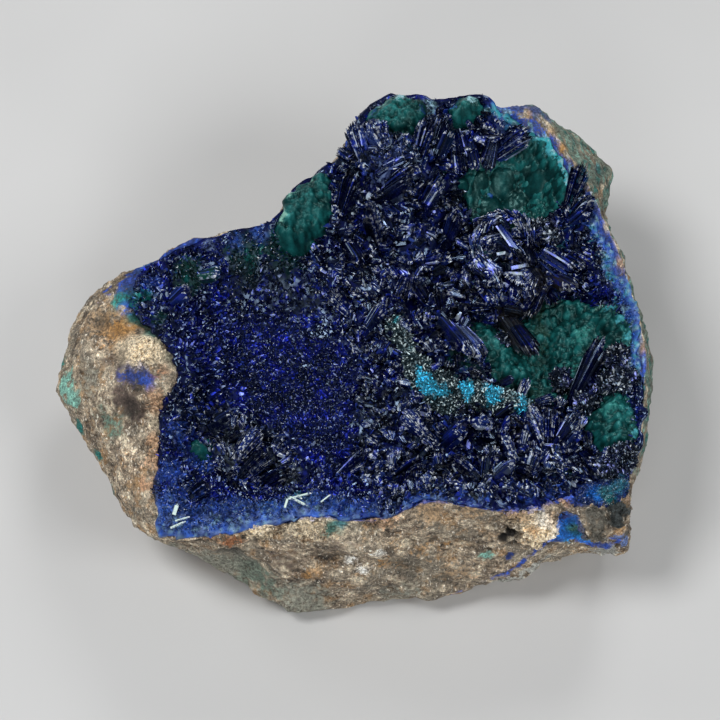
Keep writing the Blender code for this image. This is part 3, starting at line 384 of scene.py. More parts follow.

# Stains on the rock, and painted shade in three pits: place, radius, colour and strength.
ROCK_STAINS_AND_SHADE = [
    (-36.5, -0.3, 22.0, 2.4, OCHRE, 0.75), (-33.9, -1.3, 23.0, 2.2, OCHRE, 0.75),
    (-35.5, -3.4, 22.8, 2.0, OCHRE, 0.5), (-34.0, -4.3, 23.5, 2.4, CREAM, 0.9),
    (-31.5, -6.0, 24.3, 2.6, CREAM, 1.0), (-28.6, -7.0, 24.1, 2.4, CREAM, 0.9),
    (-30.5, -3.6, 24.3, 2.0, CREAM, 0.6), (-34.2, -8.8, 22.9, 1.5, DEEP_BLUE, 0.7),
    (-32.0, -9.8, 23.9, 1.7, DEEP_BLUE, 0.8), (-30.6, -11.0, 23.8, 1.2, BRIGHT_BLUE, 0.7),
    (-31.8, -10.6, 24.0, 0.8, BRIGHT_BLUE, 0.7), (-29.0, -9.2, 24.2, 1.4, RUST, 0.5),
    (-43.4, -5.8, 14.6, 2.4, MINT, 0.9), (-42.6, -8.6, 15.0, 1.8, MINT, 0.9),
    (-41.5, -11.5, 12.0, 1.3, TEAL, 1.0), (-38.6, -16.3, 12.0, 1.5, TEAL, 0.8),
    (-36.0, -21.5, 11.0, 1.2, TEAL, 0.5), (-44.5, -1.0, 12.5, 1.4, TEAL, 0.6),
    (-29.9, -12.3, 23.0, 1.5, PEACH, 0.9), (-29.9, -14.2, 22.4, 1.5, PEACH, 0.9),
    (-29.9, -16.2, 21.8, 1.6, CREAM, 0.7), (-29.9, -18.9, 20.8, 1.7, PEACH, 0.9),
    (-30.2, -21.8, 19.8, 1.7, PEACH, 0.8), (-30.4, -25.0, 19.0, 1.6, PEACH, 0.7),
    (-29.6, -28.5, 18.6, 1.6, CREAM, 0.6), (-31.5, -25.5, 17.0, 2.0, RUST, 0.4),
    (-34.4, -12.4, 21.7, 2.4, BROWN, 0.8), (-32.6, -14.4, 22.0, 2.2, BROWN, 0.75),
    (-35.9, -15.9, 19.0, 2.6, GREY_GREEN, 0.6), (-37.8, -12.8, 18.8, 2.0, GREY_GREEN, 0.4),
    (-36.5, -6.5, 21.8, 2.6, BROWN, 0.35), (-39.5, -7.5, 18.5, 3.0, SLATE, 0.45),
    (-39.0, 1.5, 20.5, 3.0, TAN, 0.5), (-31.8, 9.4, 22.8, 1.5, CYAN, 0.9),
    (-34.6, 4.2, 22.2, 2.2, TEAL, 0.8), (-33.0, 0.6, 23.2, 1.5, TEAL, 0.9),
    (-34.3, 2.6, 22.6, 1.3, BRIGHT_BLUE, 0.7), (-30.6, -2.4, 24.2, 1.2, TEAL, 0.9),
    (-28.2, -5.0, 24.4, 1.0, RUST, 0.8), (-19.1, -32.2, 9.0, 5.0, SLATE, 0.8),
    (-8.8, -36.3, 4.5, 5.5, SLATE, 0.7), (5.9, -34.8, 3.5, 4.5, SLATE, 0.5),
    (-26.5, -29.5, 9.0, 4.5, SLATE, 0.6), (-14.5, -33.8, 7.0, 4.0, GREY_GREEN, 0.5),
    (-7.6, -35.7, 10.6, 0.9, OCHRE, 1.0), (-1.5, -34.0, 12.7, 1.0, WHITE, 0.8),
    (0.3, -34.5, 11.0, 1.2, WHITE, 0.7), (2.9, -34.0, 14.9, 1.5, WHITE, 0.6),
    (4.5, -34.0, 12.0, 2.4, OCHRE, 0.4), (-11.0, -34.5, 13.0, 3.4, BROWN, 0.45),
    (10.5, -33.6, 15.0, 3.4, OCHRE, 0.35), (14.5, -34.0, 9.0, 3.4, TAN, 0.5),
    (-19.5, -32.5, 14.0, 3.0, BROWN, 0.4), (-2.0, -34.2, 17.0, 2.8, BROWN, 0.35),
    (-14.4, -33.0, 20.2, 2.6, CREAM, 0.7), (-8.6, -32.9, 20.8, 2.6, CREAM, 0.8),
    (-2.9, -32.6, 20.9, 2.4, CREAM, 0.6), (2.9, -32.1, 22.2, 2.6, PEACH, 0.7),
    (10.1, -31.6, 23.3, 2.6, TAN, 0.7), (15.8, -31.6, 23.4, 2.4, TAN, 0.6),
    (-3.9, -32.7, 20.4, 1.4, TEAL, 0.85), (-2.6, -32.6, 21.2, 0.9, CYAN, 0.8),
    (-18.5, -33.2, 18.4, 1.8, RUST, 0.8), (-21.5, -33.6, 18.6, 1.5, PEACH, 0.6),
    (18.6, -33.3, 12.9, 1.1, MINT, 0.7), (24.8, -31.0, 19.8, 2.6, CREAM, 0.75),
    (27.0, -31.3, 17.5, 2.4, CREAM, 0.75), (22.6, -31.2, 22.2, 2.0, TAN, 0.6),
    (25.4, -31.6, 16.0, 2.0, CREAM, 0.6), (26.4, -31.0, 20.6, 1.4, WHITE, 0.6),
    (27.6, -31.2, 16.6, 1.2, WHITE, 0.6), (24.6, -31.2, 19.4, 0.9, OCHRE, 0.6),
    # BROWN_BLACK in the three pits of the lower right corner is painted shade.
    (22.2, -32.0, 18.2, 1.2, BROWN_BLACK, 1.1), (20.9, -32.6, 16.8, 0.9, BROWN_BLACK, 1.0),
    (22.6, -32.3, 15.2, 1.0, BROWN_BLACK, 1.0), (22.0, -32.8, 12.0, 0.9, DEEP_BLUE, 0.9),
    (29.4, -30.6, 18.6, 1.6, GULLY_BLUE, 1.1), (30.6, -30.8, 17.0, 2.2, GULLY_BLUE, 1.2),
    (30.8, -31.0, 15.0, 2.2, GULLY_BLUE, 1.2), (29.4, -31.2, 14.6, 1.8, GULLY_BLUE, 1.1),
    (33.0, -31.0, 13.9, 1.6, GULLY_BLUE, 1.1), (29.6, -30.4, 19.2, 1.2, DEEP_BLUE, 1.0),
    (32.4, -30.6, 17.6, 1.2, DEEP_BLUE, 1.0), (34.6, -31.3, 13.0, 1.1, DEEP_BLUE, 1.0),
    (29.0, -31.2, 13.4, 0.9, DEEP_BLUE, 0.9), (31.8, -30.6, 15.2, 1.5, GULLY_TEAL, 1.1),
    (31.8, -30.6, 15.4, 0.9, MINT, 1.0), (30.4, -31.2, 12.8, 0.9, SKY, 0.5),
    (36.2, -31.5, 11.8, 1.4, PALE_GREY, 0.9), (38.4, -31.2, 15.8, 1.5, STONE_GREY, 0.9),
    (38.8, -31.2, 13.6, 1.2, POWDER_BLUE, 0.9), (37.0, -31.8, 15.0, 1.0, BRIGHT_BLUE, 0.6),
    (37.3, -31.7, 16.4, 1.0, POWDER_BLUE, 0.8), (28.6, -27.8, 20.6, 1.3, PEACH, 0.9),
    (29.7, -28.8, 19.7, 1.0, PEACH, 0.9), (27.2, -29.5, 20.8, 1.2, TAN, 0.7),
    (31.4, -27.4, 18.4, 1.8, DEEP_BLUE, 1.0), (30.8, -28.8, 19.0, 1.1, DEEP_BLUE, 0.8),
    (33.4, -29.9, 18.8, 1.7, STONE_GREY, 0.95), (34.6, -31.0, 17.0, 1.8, STONE_GREY, 0.9),
    (35.0, -31.4, 14.6, 1.4, PALE_GREY, 0.7), (34.4, -26.5, 18.6, 1.8, CYAN, 0.6),
    (37.6, -25.6, 19.4, 1.5, CYAN, 0.7), (37.2, -28.8, 18.6, 1.9, SLATE_BLACK, 1.0),
    (37.0, -30.6, 17.6, 1.2, SLATE_BLACK, 0.9), (35.5, 24.0, 27.0, 1.1, CYAN, 0.8),
    (37.0, 17.0, 25.0, 1.2, TEAL, 0.7), (36.2, 21.0, 29.0, 0.9, MINT, 0.7),
    (39.5, 9.0, 25.0, 1.0, CYAN, 0.6), (42.0, 0.0, 24.0, 1.0, TEAL, 0.8), (43.0, -6.0, 21.0, 1.1, TEAL, 0.7),
]
# Stained lines on the rock: colour, half width, strength and the places they run through.
ROCK_LINES = [
    (PALE_GREY, 0.8, 0.9,
     [(19.5, -34.4, 5.4), (24.2, -33.2, 8.0), (27.9, -31.9, 8.6), (33.0, -31.4, 9.2), (37.6, -31.2, 11.0)]),
    (BRIGHT_BLUE, 0.55, 1.0,
     [(13.5, -35.2, 3.4), (17.5, -34.7, 5.6), (20.8, -34.3, 8.0), (23.7, -33.2, 9.7), (25.8, -32.3, 12.2),
      (28.0, -31.7, 14.5)]),
    (BRIGHT_BLUE, 0.6, 1.0,
     [(31.4, -31.3, 13.2), (33.7, -31.3, 12.2), (36.0, -31.7, 12.4), (37.2, -31.8, 14.2)]),
    (CREAM, 0.42, 1.0,
     [(25.0, 31.4, 32.8), (28.0, 29.2, 32.2), (30.4, 25.8, 31.2), (32.0, 22.4, 31.2), (34.4, 17.2, 31.0),
      (37.0, 11.4, 30.0), (39.2, 4.8, 28.8), (41.0, -1.4, 28.0), (41.9, -8.0, 26.4), (42.0, -13.0, 25.0),
      (40.6, -19.0, 23.6), (39.6, -25.0, 20.0), (39.4, -29.5, 17.4)]),
]
# Spots along the crest of the right rim, laid over everything else on the rock.
CREST_SPOTS = [
    (28.8, 28.0, 32.0, 0.8, TAN, 0.9), (30.4, 25.4, 31.2, 0.8, OCHRE, 1.0),
    (31.4, 23.4, 31.2, 0.7, TAN, 0.8), (33.6, 19.0, 31.2, 1.0, CREAM, 0.8),
    (36.6, 12.4, 30.2, 0.9, CREAM, 0.9), (38.6, 6.6, 29.0, 1.0, PEACH, 0.9),
    (40.6, 0.6, 28.2, 0.9, CREAM, 0.9), (41.8, -6.4, 26.6, 1.0, PEACH, 0.9),
    (41.6, -15.4, 24.6, 1.0, PEACH, 0.8), (39.4, -27.0, 18.8, 1.0, PEACH, 0.9),
    (24.0, 32.0, 33.0, 1.6, VIOLET, 1.0), (21.0, 32.2, 33.0, 1.4, BRIGHT_BLUE, 0.8),
    (26.4, 31.0, 32.8, 1.3, VIOLET, 1.0), (25.2, 30.8, 32.6, 0.5, PEACH, 0.8),
    (28.0, 30.2, 32.0, 0.9, VIOLET, 0.8),
]
# Blooms and stains on the azurite crust, and painted shade in the wreath's hole: place in plan, radius,
# colour and strength.
CRUST_STAINS_AND_SHADE = [
    (-23.4, -20.4, 2.4, BRIGHT_BLUE, 0.75), (-26.5, -17.5, 2.0, BRIGHT_BLUE, 0.5),
    (-25.5, -28.5, 4.0, BRIGHT_BLUE, 0.5), (-18.7, -31.0, 3.4, BRIGHT_BLUE, 0.8),
    (-12.5, -31.0, 2.8, BRIGHT_BLUE, 0.7), (-5.8, -29.6, 3.6, BRIGHT_BLUE, 0.6),
    (0.0, -31.0, 2.5, BRIGHT_BLUE, 0.5), (-28.0, -24.0, 2.4, BRIGHT_BLUE, 0.7),
    (-8.5, -28.5, 1.8, CYAN, 0.5), (-13.5, -29.5, 1.2, VIVID_BLUE, 0.8), (8.0, -30.0, 2.2, BRIGHT_BLUE, 0.4),
    (27.5, -26.5, 2.5, BRIGHT_BLUE, 0.5), (24.5, -28.6, 2.0, BRIGHT_BLUE, 0.4),
    (3.7, 24.2, 3.4, VIOLET, 0.75), (0.5, 24.5, 2.6, BRIGHT_BLUE, 0.5), (7.0, 25.6, 2.6, VIOLET, 0.6),
    (11.9, 28.8, 2.4, BRIGHT_BLUE, 0.5), (1.0, 27.5, 1.8, BRIGHT_BLUE, 0.6),
    (10.2, 31.6, 1.6, PALE_CYAN, 0.5), (20.5, 30.5, 2.6, BRIGHT_BLUE, 0.6), (25.5, 28.6, 2.0, CYAN, 0.6),
    (21.5, 27.0, 2.6, VIOLET, 0.8), (5.0, 21.5, 3.0, VIOLET, 0.5), (4.5, 26.0, 3.0, BLUE_HAZE, 0.9),
    (1.5, 25.5, 2.4, BLUE_HAZE, 0.9), (8.5, 26.4, 2.4, BLUE_HAZE, 0.8), (-25.5, 7.5, 2.6, DARK_GREEN, 0.9),
    (-17.0, 11.2, 3.0, DARK_GREEN, 0.9), (-11.5, 12.4, 3.0, DARK_GREEN, 0.7), (-32.6, 3.5, 2.2, TEAL, 0.6),
    (-31.0, 6.0, 1.8, BRIGHT_BLUE, 0.5), (-29.5, -0.5, 1.6, DARK_GREEN, 0.7),
    (-18.0, 8.6, 2.6, NIGHT_BLUE, 0.6), (-13.0, 8.4, 3.0, NIGHT_BLUE, 0.6),
    (-8.0, 7.2, 3.0, NIGHT_BLUE, 0.6), (-3.0, 5.4, 2.6, NIGHT_BLUE, 0.5), (-22.5, 12.4, 1.3, VIOLET, 0.6),
    (-18.5, 13.0, 1.2, BRIGHT_BLUE, 0.6), (-15.0, 14.2, 1.2, BRIGHT_BLUE, 0.6),
    (9.0, 9.0, 3.0, NIGHT_BLUE, 0.4), (14.0, 20.0, 3.0, NIGHT_BLUE, 0.4), (14.8, -5.5, 2.4, DARK_GREEN, 0.8),
    (26.5, -3.5, 1.6, GREY_GREEN, 0.35), (28.5, -22.5, 2.2, DARK_GREEN, 0.4), (8.0, 26.8, 2.0, TEAL, 0.4),
    (-19.8, -15.5, 3.8, FAN_GREY, 0.7), (-16.8, -19.3, 4.2, FAN_GREY, 0.7),
    (-13.5, -13.5, 2.2, DARK_GREY, 0.4), (-11.5, -22.5, 3.4, FAN_GREY, 0.7),
    (9.0, -15.0, 3.6, DARK_GREY, 0.25), (21.5, 1.2, 1.4, BROWN_BLACK, 1.0),
    (23.5, -17.0, 2.6, BROWN_BLACK, 0.6), (31.5, -14.5, 2.0, BRIGHT_BLUE, 0.5),
    (13.0, -16.0, 1.6, BRIGHT_BLUE, 0.7), (25.5, -17.5, 1.6, BRIGHT_BLUE, 0.7),
    # NIGHT_BLUE at (22.2, 11.4) is painted shade in the wreath's hole.
    (26.5, 8.5, 2.0, VIOLET, 0.6), (22.2, 11.4, 3.0, NIGHT_BLUE, 1.2), (20.0, 10.6, 1.2, TEAL, 0.6),
    (17.5, 11.0, 1.6, PALE_CYAN, 0.35), (18.2, 6.5, 1.6, PALE_CYAN, 0.3), (2.5, -12.0, 3.6, NIGHT_BLUE, 0.6),
    (1.5, -17.0, 3.2, NIGHT_BLUE, 0.5), (29.5, 12.5, 1.2, CYAN, 0.5), (27.5, 7.2, 1.2, BROWN_BLACK, 1.2),
]
RIM_BLOOM = 2.3  # width of the bright blue bloom along the right rim
# The line of cyan powder inside the right rim, in plan, and its half width.
RIM_POWDER = [
    (19.6, 31.0, 0.0), (22.2, 30.4, 0.0), (24.5, 29.6, 0.0), (27.3, 28.0, 0.0), (29.2, 25.5, 0.0),
    (30.7, 22.0, 0.0), (31.9, 18.5, 0.0),
]
POWDER_WIDTH = 0.6
# The same for the chrysocolla band and for all malachite.
BAND_STAINS = [
    (5.4, 1.2, 0.8, CYAN, 0.8), (9.4, -9.2, 1.5, SKY, 1.0), (10.6, -10.4, 1.0, SKY, 0.9),
    (15.6, -11.0, 1.4, SKY, 1.0), (19.2, -11.6, 1.4, SKY, 1.0), (23.8, -12.2, 1.2, SKY, 0.9),
    (12.2, -10.6, 0.7, SKY, 0.7), (7.0, -4.5, 0.7, PALE_CYAN, 0.5), (22.0, -11.2, 1.4, PALE_CYAN, 0.3),
    (12.6, -8.6, 1.5, DARK_GREY, 0.6), (7.4, -1.6, 1.6, DARK_GREY, 0.5),
]
MALACHITE_STAINS = [
    (-11.9, 16.5, 1.0, MINT, 0.7), (-10.6, 19.6, 0.9, MINT, 0.6), (-7.8, 22.2, 0.8, MINT, 0.6),
    (3.0, 32.6, 1.2, MINT, 0.6), (6.0, 33.2, 1.2, PALE_CYAN, 0.6), (2.0, 31.0, 0.9, DEEP_BLUE, 0.45),
    (9.6, 31.0, 0.8, DEEP_BLUE, 0.45), (38.3, -0.5, 1.2, CYAN, 0.8), (36.8, 1.8, 1.0, CYAN, 0.7),
    (39.4, -4.0, 0.9, CYAN, 0.6), (35.4, 2.8, 0.8, MINT, 0.5), (28.6, 26.0, 1.0, CYAN, 0.8),
    (26.8, 28.0, 1.0, CYAN, 0.8), (30.6, 22.5, 0.8, CYAN, 0.6), (39.6, -15.0, 0.9, CYAN, 0.5),
    (40.0, -19.0, 0.9, CYAN, 0.6), (16.5, 32.2, 1.0, PALE_CYAN, 0.6), (14.0, 31.8, 0.9, BRIGHT_BLUE, 0.5),
    (26.2, 3.4, 1.8, MOSS, 0.55), (26.8, 0.8, 1.7, MOSS, 0.6), (27.0, -2.0, 1.6, MOSS, 0.55),
    (26.4, -4.6, 1.6, MOSS, 0.4), (25.6, -9.8, 1.6, MOSS, 0.5), (20.6, -9.0, 1.2, MOSS, 0.4),
    (22.5, 27.6, 1.2, VIOLET, 0.5), (35.0, -26.0, 4.6, DEEP_BLUE, 0.9), (33.8, -25.9, 1.1, GULLY_BLUE, 0.7),
    (35.6, -26.5, 1.1, CYAN, 0.9), (34.6, -27.4, 0.6, GULLY_BLUE, 0.8), (37.4, -25.6, 1.3, CYAN, 0.7),
    (36.4, -24.2, 1.2, DEEP_BLUE, 0.8), (33.0, -24.6, 1.4, DEEP_BLUE, 0.9), (36.4, -27.4, 1.0, TEAL, 0.8),
    (24.4, 18.6, 1.8, LIGHT_TEAL, 0.3), (26.8, 19.2, 1.4, LIGHT_TEAL, 0.3),
    (33.0, -1.2, 1.6, LIGHT_TEAL, 0.6), (36.2, -14.2, 1.6, LIGHT_TEAL, 0.5),
    (31.0, -6.0, 1.6, LIGHT_TEAL, 0.4), (19.6, 21.8, 0.5, BRIGHT_BLUE, 0.6),
    (17.6, 19.0, 1.2, DARK_GREY, 0.4),
]

# Colours of crystals, lumps and stone from the darkest shade to the lightest. The palest stop of each crystal
# ramp is a painted glint, EDGE_GLINTS are painted glints on the crystals' edges, and the malachite's ramp
# runs from painted shade between its lumps to a painted highlight on their crests.
DRUSE_BLUES_AND_GLINTS = ((0.0, (0.0015, 0.0025, 0.015)), (0.5, (0.004, 0.007, 0.060)), (0.85, (0.010, 0.020, 0.19)),
               (0.955, (0.03, 0.06, 0.36)), (0.975, (0.30, 0.38, 0.62)))
MOUND_GREYS_AND_GLINTS = ((0.0, (0.0015, 0.0025, 0.006)), (0.6, (0.006, 0.009, 0.020)), (0.84, (0.03, 0.04, 0.07)),
               (0.93, (0.55, 0.62, 0.66)))
BLADE_BLUES_AND_GLINTS = ((0.0, (0.0006, 0.0008, 0.004)), (0.5, (0.0020, 0.0038, 0.026)), (0.82, (0.008, 0.019, 0.120)),
               (0.94, (0.03, 0.06, 0.25)), (0.975, (0.62, 0.73, 0.84)))
EDGE_GLINTS = ((0.49, (0.010, 0.025, 0.16)), (0.545, (0.10, 0.16, 0.38)), (0.568, (0.92, 0.97, 1.0)))
MALACHITE_SHADED_GREENS = ((0.0, (0.0004, 0.006, 0.007)), (0.30, (0.0022, 0.036, 0.037)),
                    (0.62, (0.0095, 0.118, 0.118)), (1.0, (0.130, 0.450, 0.430)))
CHRYSOCOLLA_GREYS_AND_GLINTS = ((0.0, (0.003, 0.006, 0.008)), (0.66, (0.014, 0.030, 0.038)), (0.80, (0.13, 0.20, 0.23)),
                     (0.92, (0.85, 1.0, 1.0)))
ROCK_BROWNS = ((0.36, (0.026, 0.018, 0.013)), (0.44, (0.155, 0.117, 0.082)), (0.53, (0.385, 0.305, 0.215)),
               (0.65, (0.92, 0.80, 0.59)))
ROCK_GREY, ROCK_ORANGE, ROCK_FLAKE = (0.29, 0.26, 0.20), (0.44, 0.25, 0.10), (0.86, 0.80, 0.68)

# ---- numbers, heights and noise


def ease(value):
    """0 to 1 with soft ends."""
    t = np.clip(value, 0, 1)
    return t * t * (3 - 2 * t)


def fade(value, start, width):
    """0 up to the start and 1 from a width past it, with soft ends."""
    return ease((value - start) / width)


def in_parts(work, places, size=4000):
    """The work done on a long array a part at a time, to save memory."""
    xy = np.asarray(places, float).reshape(-1, 2)
    return np.concatenate([work(xy[i:i + size]) for i in range(0, len(xy), size)])


def rough(points, size, octaves=1):
    """Smooth bumps of about the given size at each point, from about -1 to 1."""
    scaled = (np.asarray(points, float) / size).tolist()
    if octaves == 1:
        return np.array([noise.noise(p) for p in scaled])
    return np.array([noise.fractal(p, 0.8, 2.1, octaves) for p in scaled])


def flat_rough(places, level, size):
    """rough() over places in plan."""
    xy = np.asarray(places, float).reshape(-1, 2)
    return rough(np.column_stack([xy, np.full(len(xy), level)]), size)


def thin_plate(points):
    """A smooth height that passes through all the given (x, y, z), for an array of places."""
    p = np.array(points, float)

    def bend(distance):
        return distance**2 * np.log(distance + 1e-9)

    apart = np.linalg.norm(p[:, None, :2] - p[None, :, :2], axis=2)
    flat = np.column_stack([np.ones(len(p)), p[:, :2]])
    system = np.block([[bend(apart), flat], [flat.T, np.zeros((3, 3))]])
    weights = np.linalg.solve(system, np.concatenate([p[:, 2], np.zeros(3)]))

    def height(xy):
        distance = np.linalg.norm(xy[:, None] - p[None, :, :2], axis=2)
        return bend(distance) @ weights[:-3] + weights[-3] + xy @ weights[-2:]

    return lambda places: in_parts(height, places)


# ---- outlines


def closed_curve(points, per_span):
    """Points along a smooth closed curve (Catmull-Rom) through the given ones, per_span for each of them."""
    p = np.array(points, float)
    before, after, beyond = np.roll(p, 1, 0), np.roll(p, -1, 0), np.roll(p, -2, 0)
    spans = []
    for step in range(per_span):
        t = step / per_span
        spans.append(0.5 * (2 * p + (after - before) * t + (2 * before - 5 * p + 4 * after - beyond) * t**2
                            + (3 * p - before - 3 * after + beyond) * t**3))
    return np.stack(spans, 1).reshape(-1, p.shape[1])


def open_curve(points, per_span):
    """Points along a smooth curve through the given ones."""
    p = np.array(points, float)
    ends = np.vstack([2 * p[0] - p[1], p, 2 * p[-1] - p[-2]])
    made = []
    for i in range(1, len(p)):
        a, b, c, d = ends[i - 1:i + 3]
        for t in np.arange(per_span) / per_span:
            made.append(0.5 * (2 * b + (c - a) * t + (2 * a - 5 * b + 4 * c - d) * t**2
                               + (3 * b - a - 3 * c + d) * t**3))
    return np.array(made + [p[-1]])


def even_loop(outline, step):
    """The same closed outline with its points spread evenly along it."""
    closed = np.vstack([outline, outline[:1]])
    along = np.concatenate([[0.0], np.cumsum(np.linalg.norm(np.diff(closed, axis=0), axis=1))])
    spots = np.linspace(0, along[-1], int(along[-1] / step), endpoint=False)
    return np.column_stack([np.interp(spots, along, closed[:, axis]) for axis in (0, 1)])


def anticlockwise(edge):
    """An outline, turned round if it runs clockwise."""
    following = np.roll(edge, -1, 0)
    area = (edge[:, 0] * following[:, 1] - following[:, 0] * edge[:, 1]).sum()
    return edge if area > 0 else edge[::-1]


def depth_inside(edge, places):
    """Distance from each place to a closed outline, positive inside it."""
    a, b = edge, np.roll(edge, -1, 0)
    run = b - a
    rise = np.where(run[:, 1] == 0, 1e-12, run[:, 1])

    def depth(xy):
        x, y = xy[:, :1], xy[:, 1:]
        along = np.clip(((x - a[:, 0]) * run[:, 0] + (y - a[:, 1]) * run[:, 1]) / (run**2).sum(1), 0, 1)
        distance = np.hypot(a[:, 0] + along * run[:, 0] - x, a[:, 1] + along * run[:, 1] - y).min(1)
        crosses = (a[:, 1] > y) != (b[:, 1] > y)
        odd = (crosses & (a[:, 0] + (y - a[:, 1]) / rise * run[:, 0] > x)).sum(1) % 2
        return np.where(odd == 1, distance, -distance)

    return in_parts(depth, places)


def wobbly(edge):
    """An outline with small bays and tongues."""
    run = np.roll(edge, -1, 0) - np.roll(edge, 1, 0)
    out = np.column_stack([run[:, 1], -run[:, 0]]) / np.linalg.norm(run, axis=1)[:, None]
    return edge + out * (0.75 * flat_rough(edge, 4, 2.2) + 0.35 * flat_rough(edge, 8, 0.9))[:, None]


def patch_outline(x, y, radius):
    """A wobbly round outline."""
    turns = np.linspace(0, 2 * math.pi, 24, endpoint=False)
    ring = np.column_stack([x + np.cos(turns), y + np.sin(turns)])
    wave = radius * (1 + 0.35 * flat_rough(ring, 3, 0.9))
    return np.column_stack([x + np.cos(turns) * wave, y + np.sin(turns) * wave])


def band_sides():
    """The chrysocolla band's middle line, its sideways directions and its half widths."""
    line = open_curve(BAND, 16)
    run = np.gradient(line[:, :2], axis=0)
    side = np.column_stack([-run[:, 1], run[:, 0]]) / np.linalg.norm(run, axis=1)[:, None]
    ragged = 0.35 * flat_rough(line[:, :2], 2, 1.6)
    return line[:, :2], side, np.maximum(line[:, 2] + ragged, 0.4)


def band_outline():
    """The chrysocolla band's edge in plan."""
    middle, side, half = band_sides()
    return anticlockwise(np.vstack([middle + side * half[:, None], (middle - side * half[:, None])[::-1]]))


ground = thin_plate([station[0] for station in SIDE] + FLOOR)
crust_edge = anticlockwise(closed_curve(CRUST_EDGE, 2))
lump_edges = {name: anticlockwise(closed_curve(shape[0], 6)) for name, shape in MALACHITE.items()}
skin_edges = {name: anticlockwise(closed_curve(shape, 4)) for name, shape in SKINS.items()}
band_edge = band_outline()


def bowl_share(places):
    """0 in the smooth bowl and 1 well outside it."""
    xy = np.asarray(places, float).reshape(-1, 2)
    bowl = np.hypot(xy[:, 0] - SMOOTH_BOWL[0], xy[:, 1] - SMOOTH_BOWL[1]) / SMOOTH_BOWL[2]
    return np.clip(2 * bowl - 1, 0, 1)


def crystal_size(places):
    """How long a typical crystal is about each place."""
    table = np.array(SIZES)

    def mean(xy):
        near = np.exp(-((xy[:, None] - table[None, :, :2]) ** 2).sum(2) / SIZE_SPREAD) + 1e-12
        return (near @ table[:, 2]) / near.sum(1)

    return in_parts(mean, places)


def crust_bed(places):
    """The height the druse stands on: it thins to the crust's edge, and swells and sinks outside the bowl."""
    inside = np.clip(depth_inside(crust_edge, places) / CRUST_EDGE_RAMP, 0, 1)
    lumps = CRUST_LUMPS * bowl_share(places) * inside * flat_rough(places, 20, 4.5)
    return ground(places) + CRUST_EDGE_DEPTH + (CRUST_DEPTH - CRUST_EDGE_DEPTH) * inside + lumps


def clear_of_lumps(places, start, end):
    """0 within start of a malachite or chrysocolla edge, and 1 from end outwards."""
    share = np.ones(len(np.asarray(places).reshape(-1, 2)))
    for edge in [*lump_edges.values(), *skin_edges.values(), band_edge]:
        share = np.minimum(share, ease((-depth_inside(edge, places) - start) / (end - start)))
    return share


# ---- meshes


def metres(points):
    """The tables' millimetres to metres in the shared frame."""
    return (np.asarray(points, float) - np.array([MIDDLE[0], MIDDLE[1], 0.0])) * MM


def loop_faces(rows, columns, first=0):
    """Faces of a closed surface: a first point, rows of columns points round it, and a last point."""
    start = first + 1
    faces = [(first, start + i, start + (i + 1) % columns) for i in range(columns)]
    for row in range(rows - 1):
        for i in range(columns):
            j = (i + 1) % columns
            faces.append((start + i, start + columns + i, start + columns + j, start + j))
        start += columns
    faces += [(start + columns, start + (i + 1) % columns, start + i) for i in range(columns)]
    return faces


def make_piece(name, points, faces):
    """A smooth mesh object from millimetre points."""
    mesh = bpy.data.meshes.new(name)
    mesh.from_pydata(metres(points).tolist(), [], faces)
    mesh.polygons.foreach_set("use_smooth", [True] * len(mesh.polygons))
    mesh.update()
    placed = bpy.data.objects.new(name, mesh)
    bpy.context.scene.collection.objects.link(placed)
    return placed


def point_normals(placed):
    """The way a piece's surface looks at each point."""
    normals = np.empty(len(placed.data.vertices) * 3, np.float32)
    placed.data.vertex_normals.foreach_get("vector", normals)
    return normals.reshape(-1, 3).astype(float)


def points_of(placed):
    """A piece's points in the tables' millimetres."""
    co = np.empty(len(placed.data.vertices) * 3, np.float32)
    placed.data.vertices.foreach_get("co", co)
    return co.reshape(-1, 3).astype(float) / MM + np.array([MIDDLE[0], MIDDLE[1], 0.0])


def push_out(placed, amount):
    """Moves each point along its normal by its amount, in millimetres."""
    moved = points_of(placed) + point_normals(placed) * np.asarray(amount)[:, None]
    placed.data.vertices.foreach_set("co", metres(moved).astype(np.float32).ravel())
    placed.data.update()


def add_values(placed, name, values):
    """Stores one number for each point."""
    attribute = placed.data.attributes.new(name, "FLOAT", "POINT")
    attribute.data.foreach_set("value", np.asarray(values, np.float32))


def add_colors(placed, name, colors):
    """Stores one colour, with its strength as alpha, for each point."""
    attribute = placed.data.attributes.new(name, "FLOAT_COLOR", "POINT")
    attribute.data.foreach_set("color", np.asarray(colors, np.float32).ravel())


def grid_inside(edge, step, rng):
    """Places spread evenly inside an outline, a little off a honeycomb."""
    low, high = edge.min(0), edge.max(0)
    rows = np.arange(low[1], high[1], step * 0.87)
    columns = np.arange(low[0], high[0], step)
    grid = [(x + step / 2 * (row % 2), y) for row, y in enumerate(rows) for x in columns]
    grid = np.array(grid) + rng.uniform(-0.15, 0.15, (len(grid), 2)) * step
    return grid[depth_inside(edge, grid) > 0.6 * step]


def sheet(outline, step, top, bottom):
    """Points and faces of a closed sheet inside an outline, and how many of the points are on its top."""
    rng = np.random.default_rng(1)
    edge = even_loop(outline, step)
    ring = [(i, (i + 1) % len(edge)) for i in range(len(edge))]
    levels, faces, first = [], [], 0
    for height, spread, order in ((top, step, 1), (bottom, 4 * step, -1)):
        places = np.vstack([edge, grid_inside(edge, spread, rng)])
        made = delaunay_2d_cdt([Vector(place) for place in places], ring, [], 1, 1e-9)
        faces += [[first + made[3][corner][0] for corner in face][::order] for face in made[2]]
        levels.append(np.column_stack([places, height(places)]))
        first += len(places)
    under = len(levels[0])
    faces += [(under + i, under + j, j, i) for i, j in ring]
    return np.vstack(levels), faces, under


# ---- stains


def lay_over(color, hue, share):
    """Adds a colour, by its share, over an array of colours with strengths."""
    kept = color[:, 3] * (1 - share)
    total = share + kept
    mixed = np.asarray(hue) * share[:, None] + color[:, :3] * kept[:, None]
    mixed /= np.maximum(total, 1e-6)[:, None]
    color[:, :3] = np.where(total[:, None] > 1e-6, mixed, color[:, :3])
    color[:, 3] = total


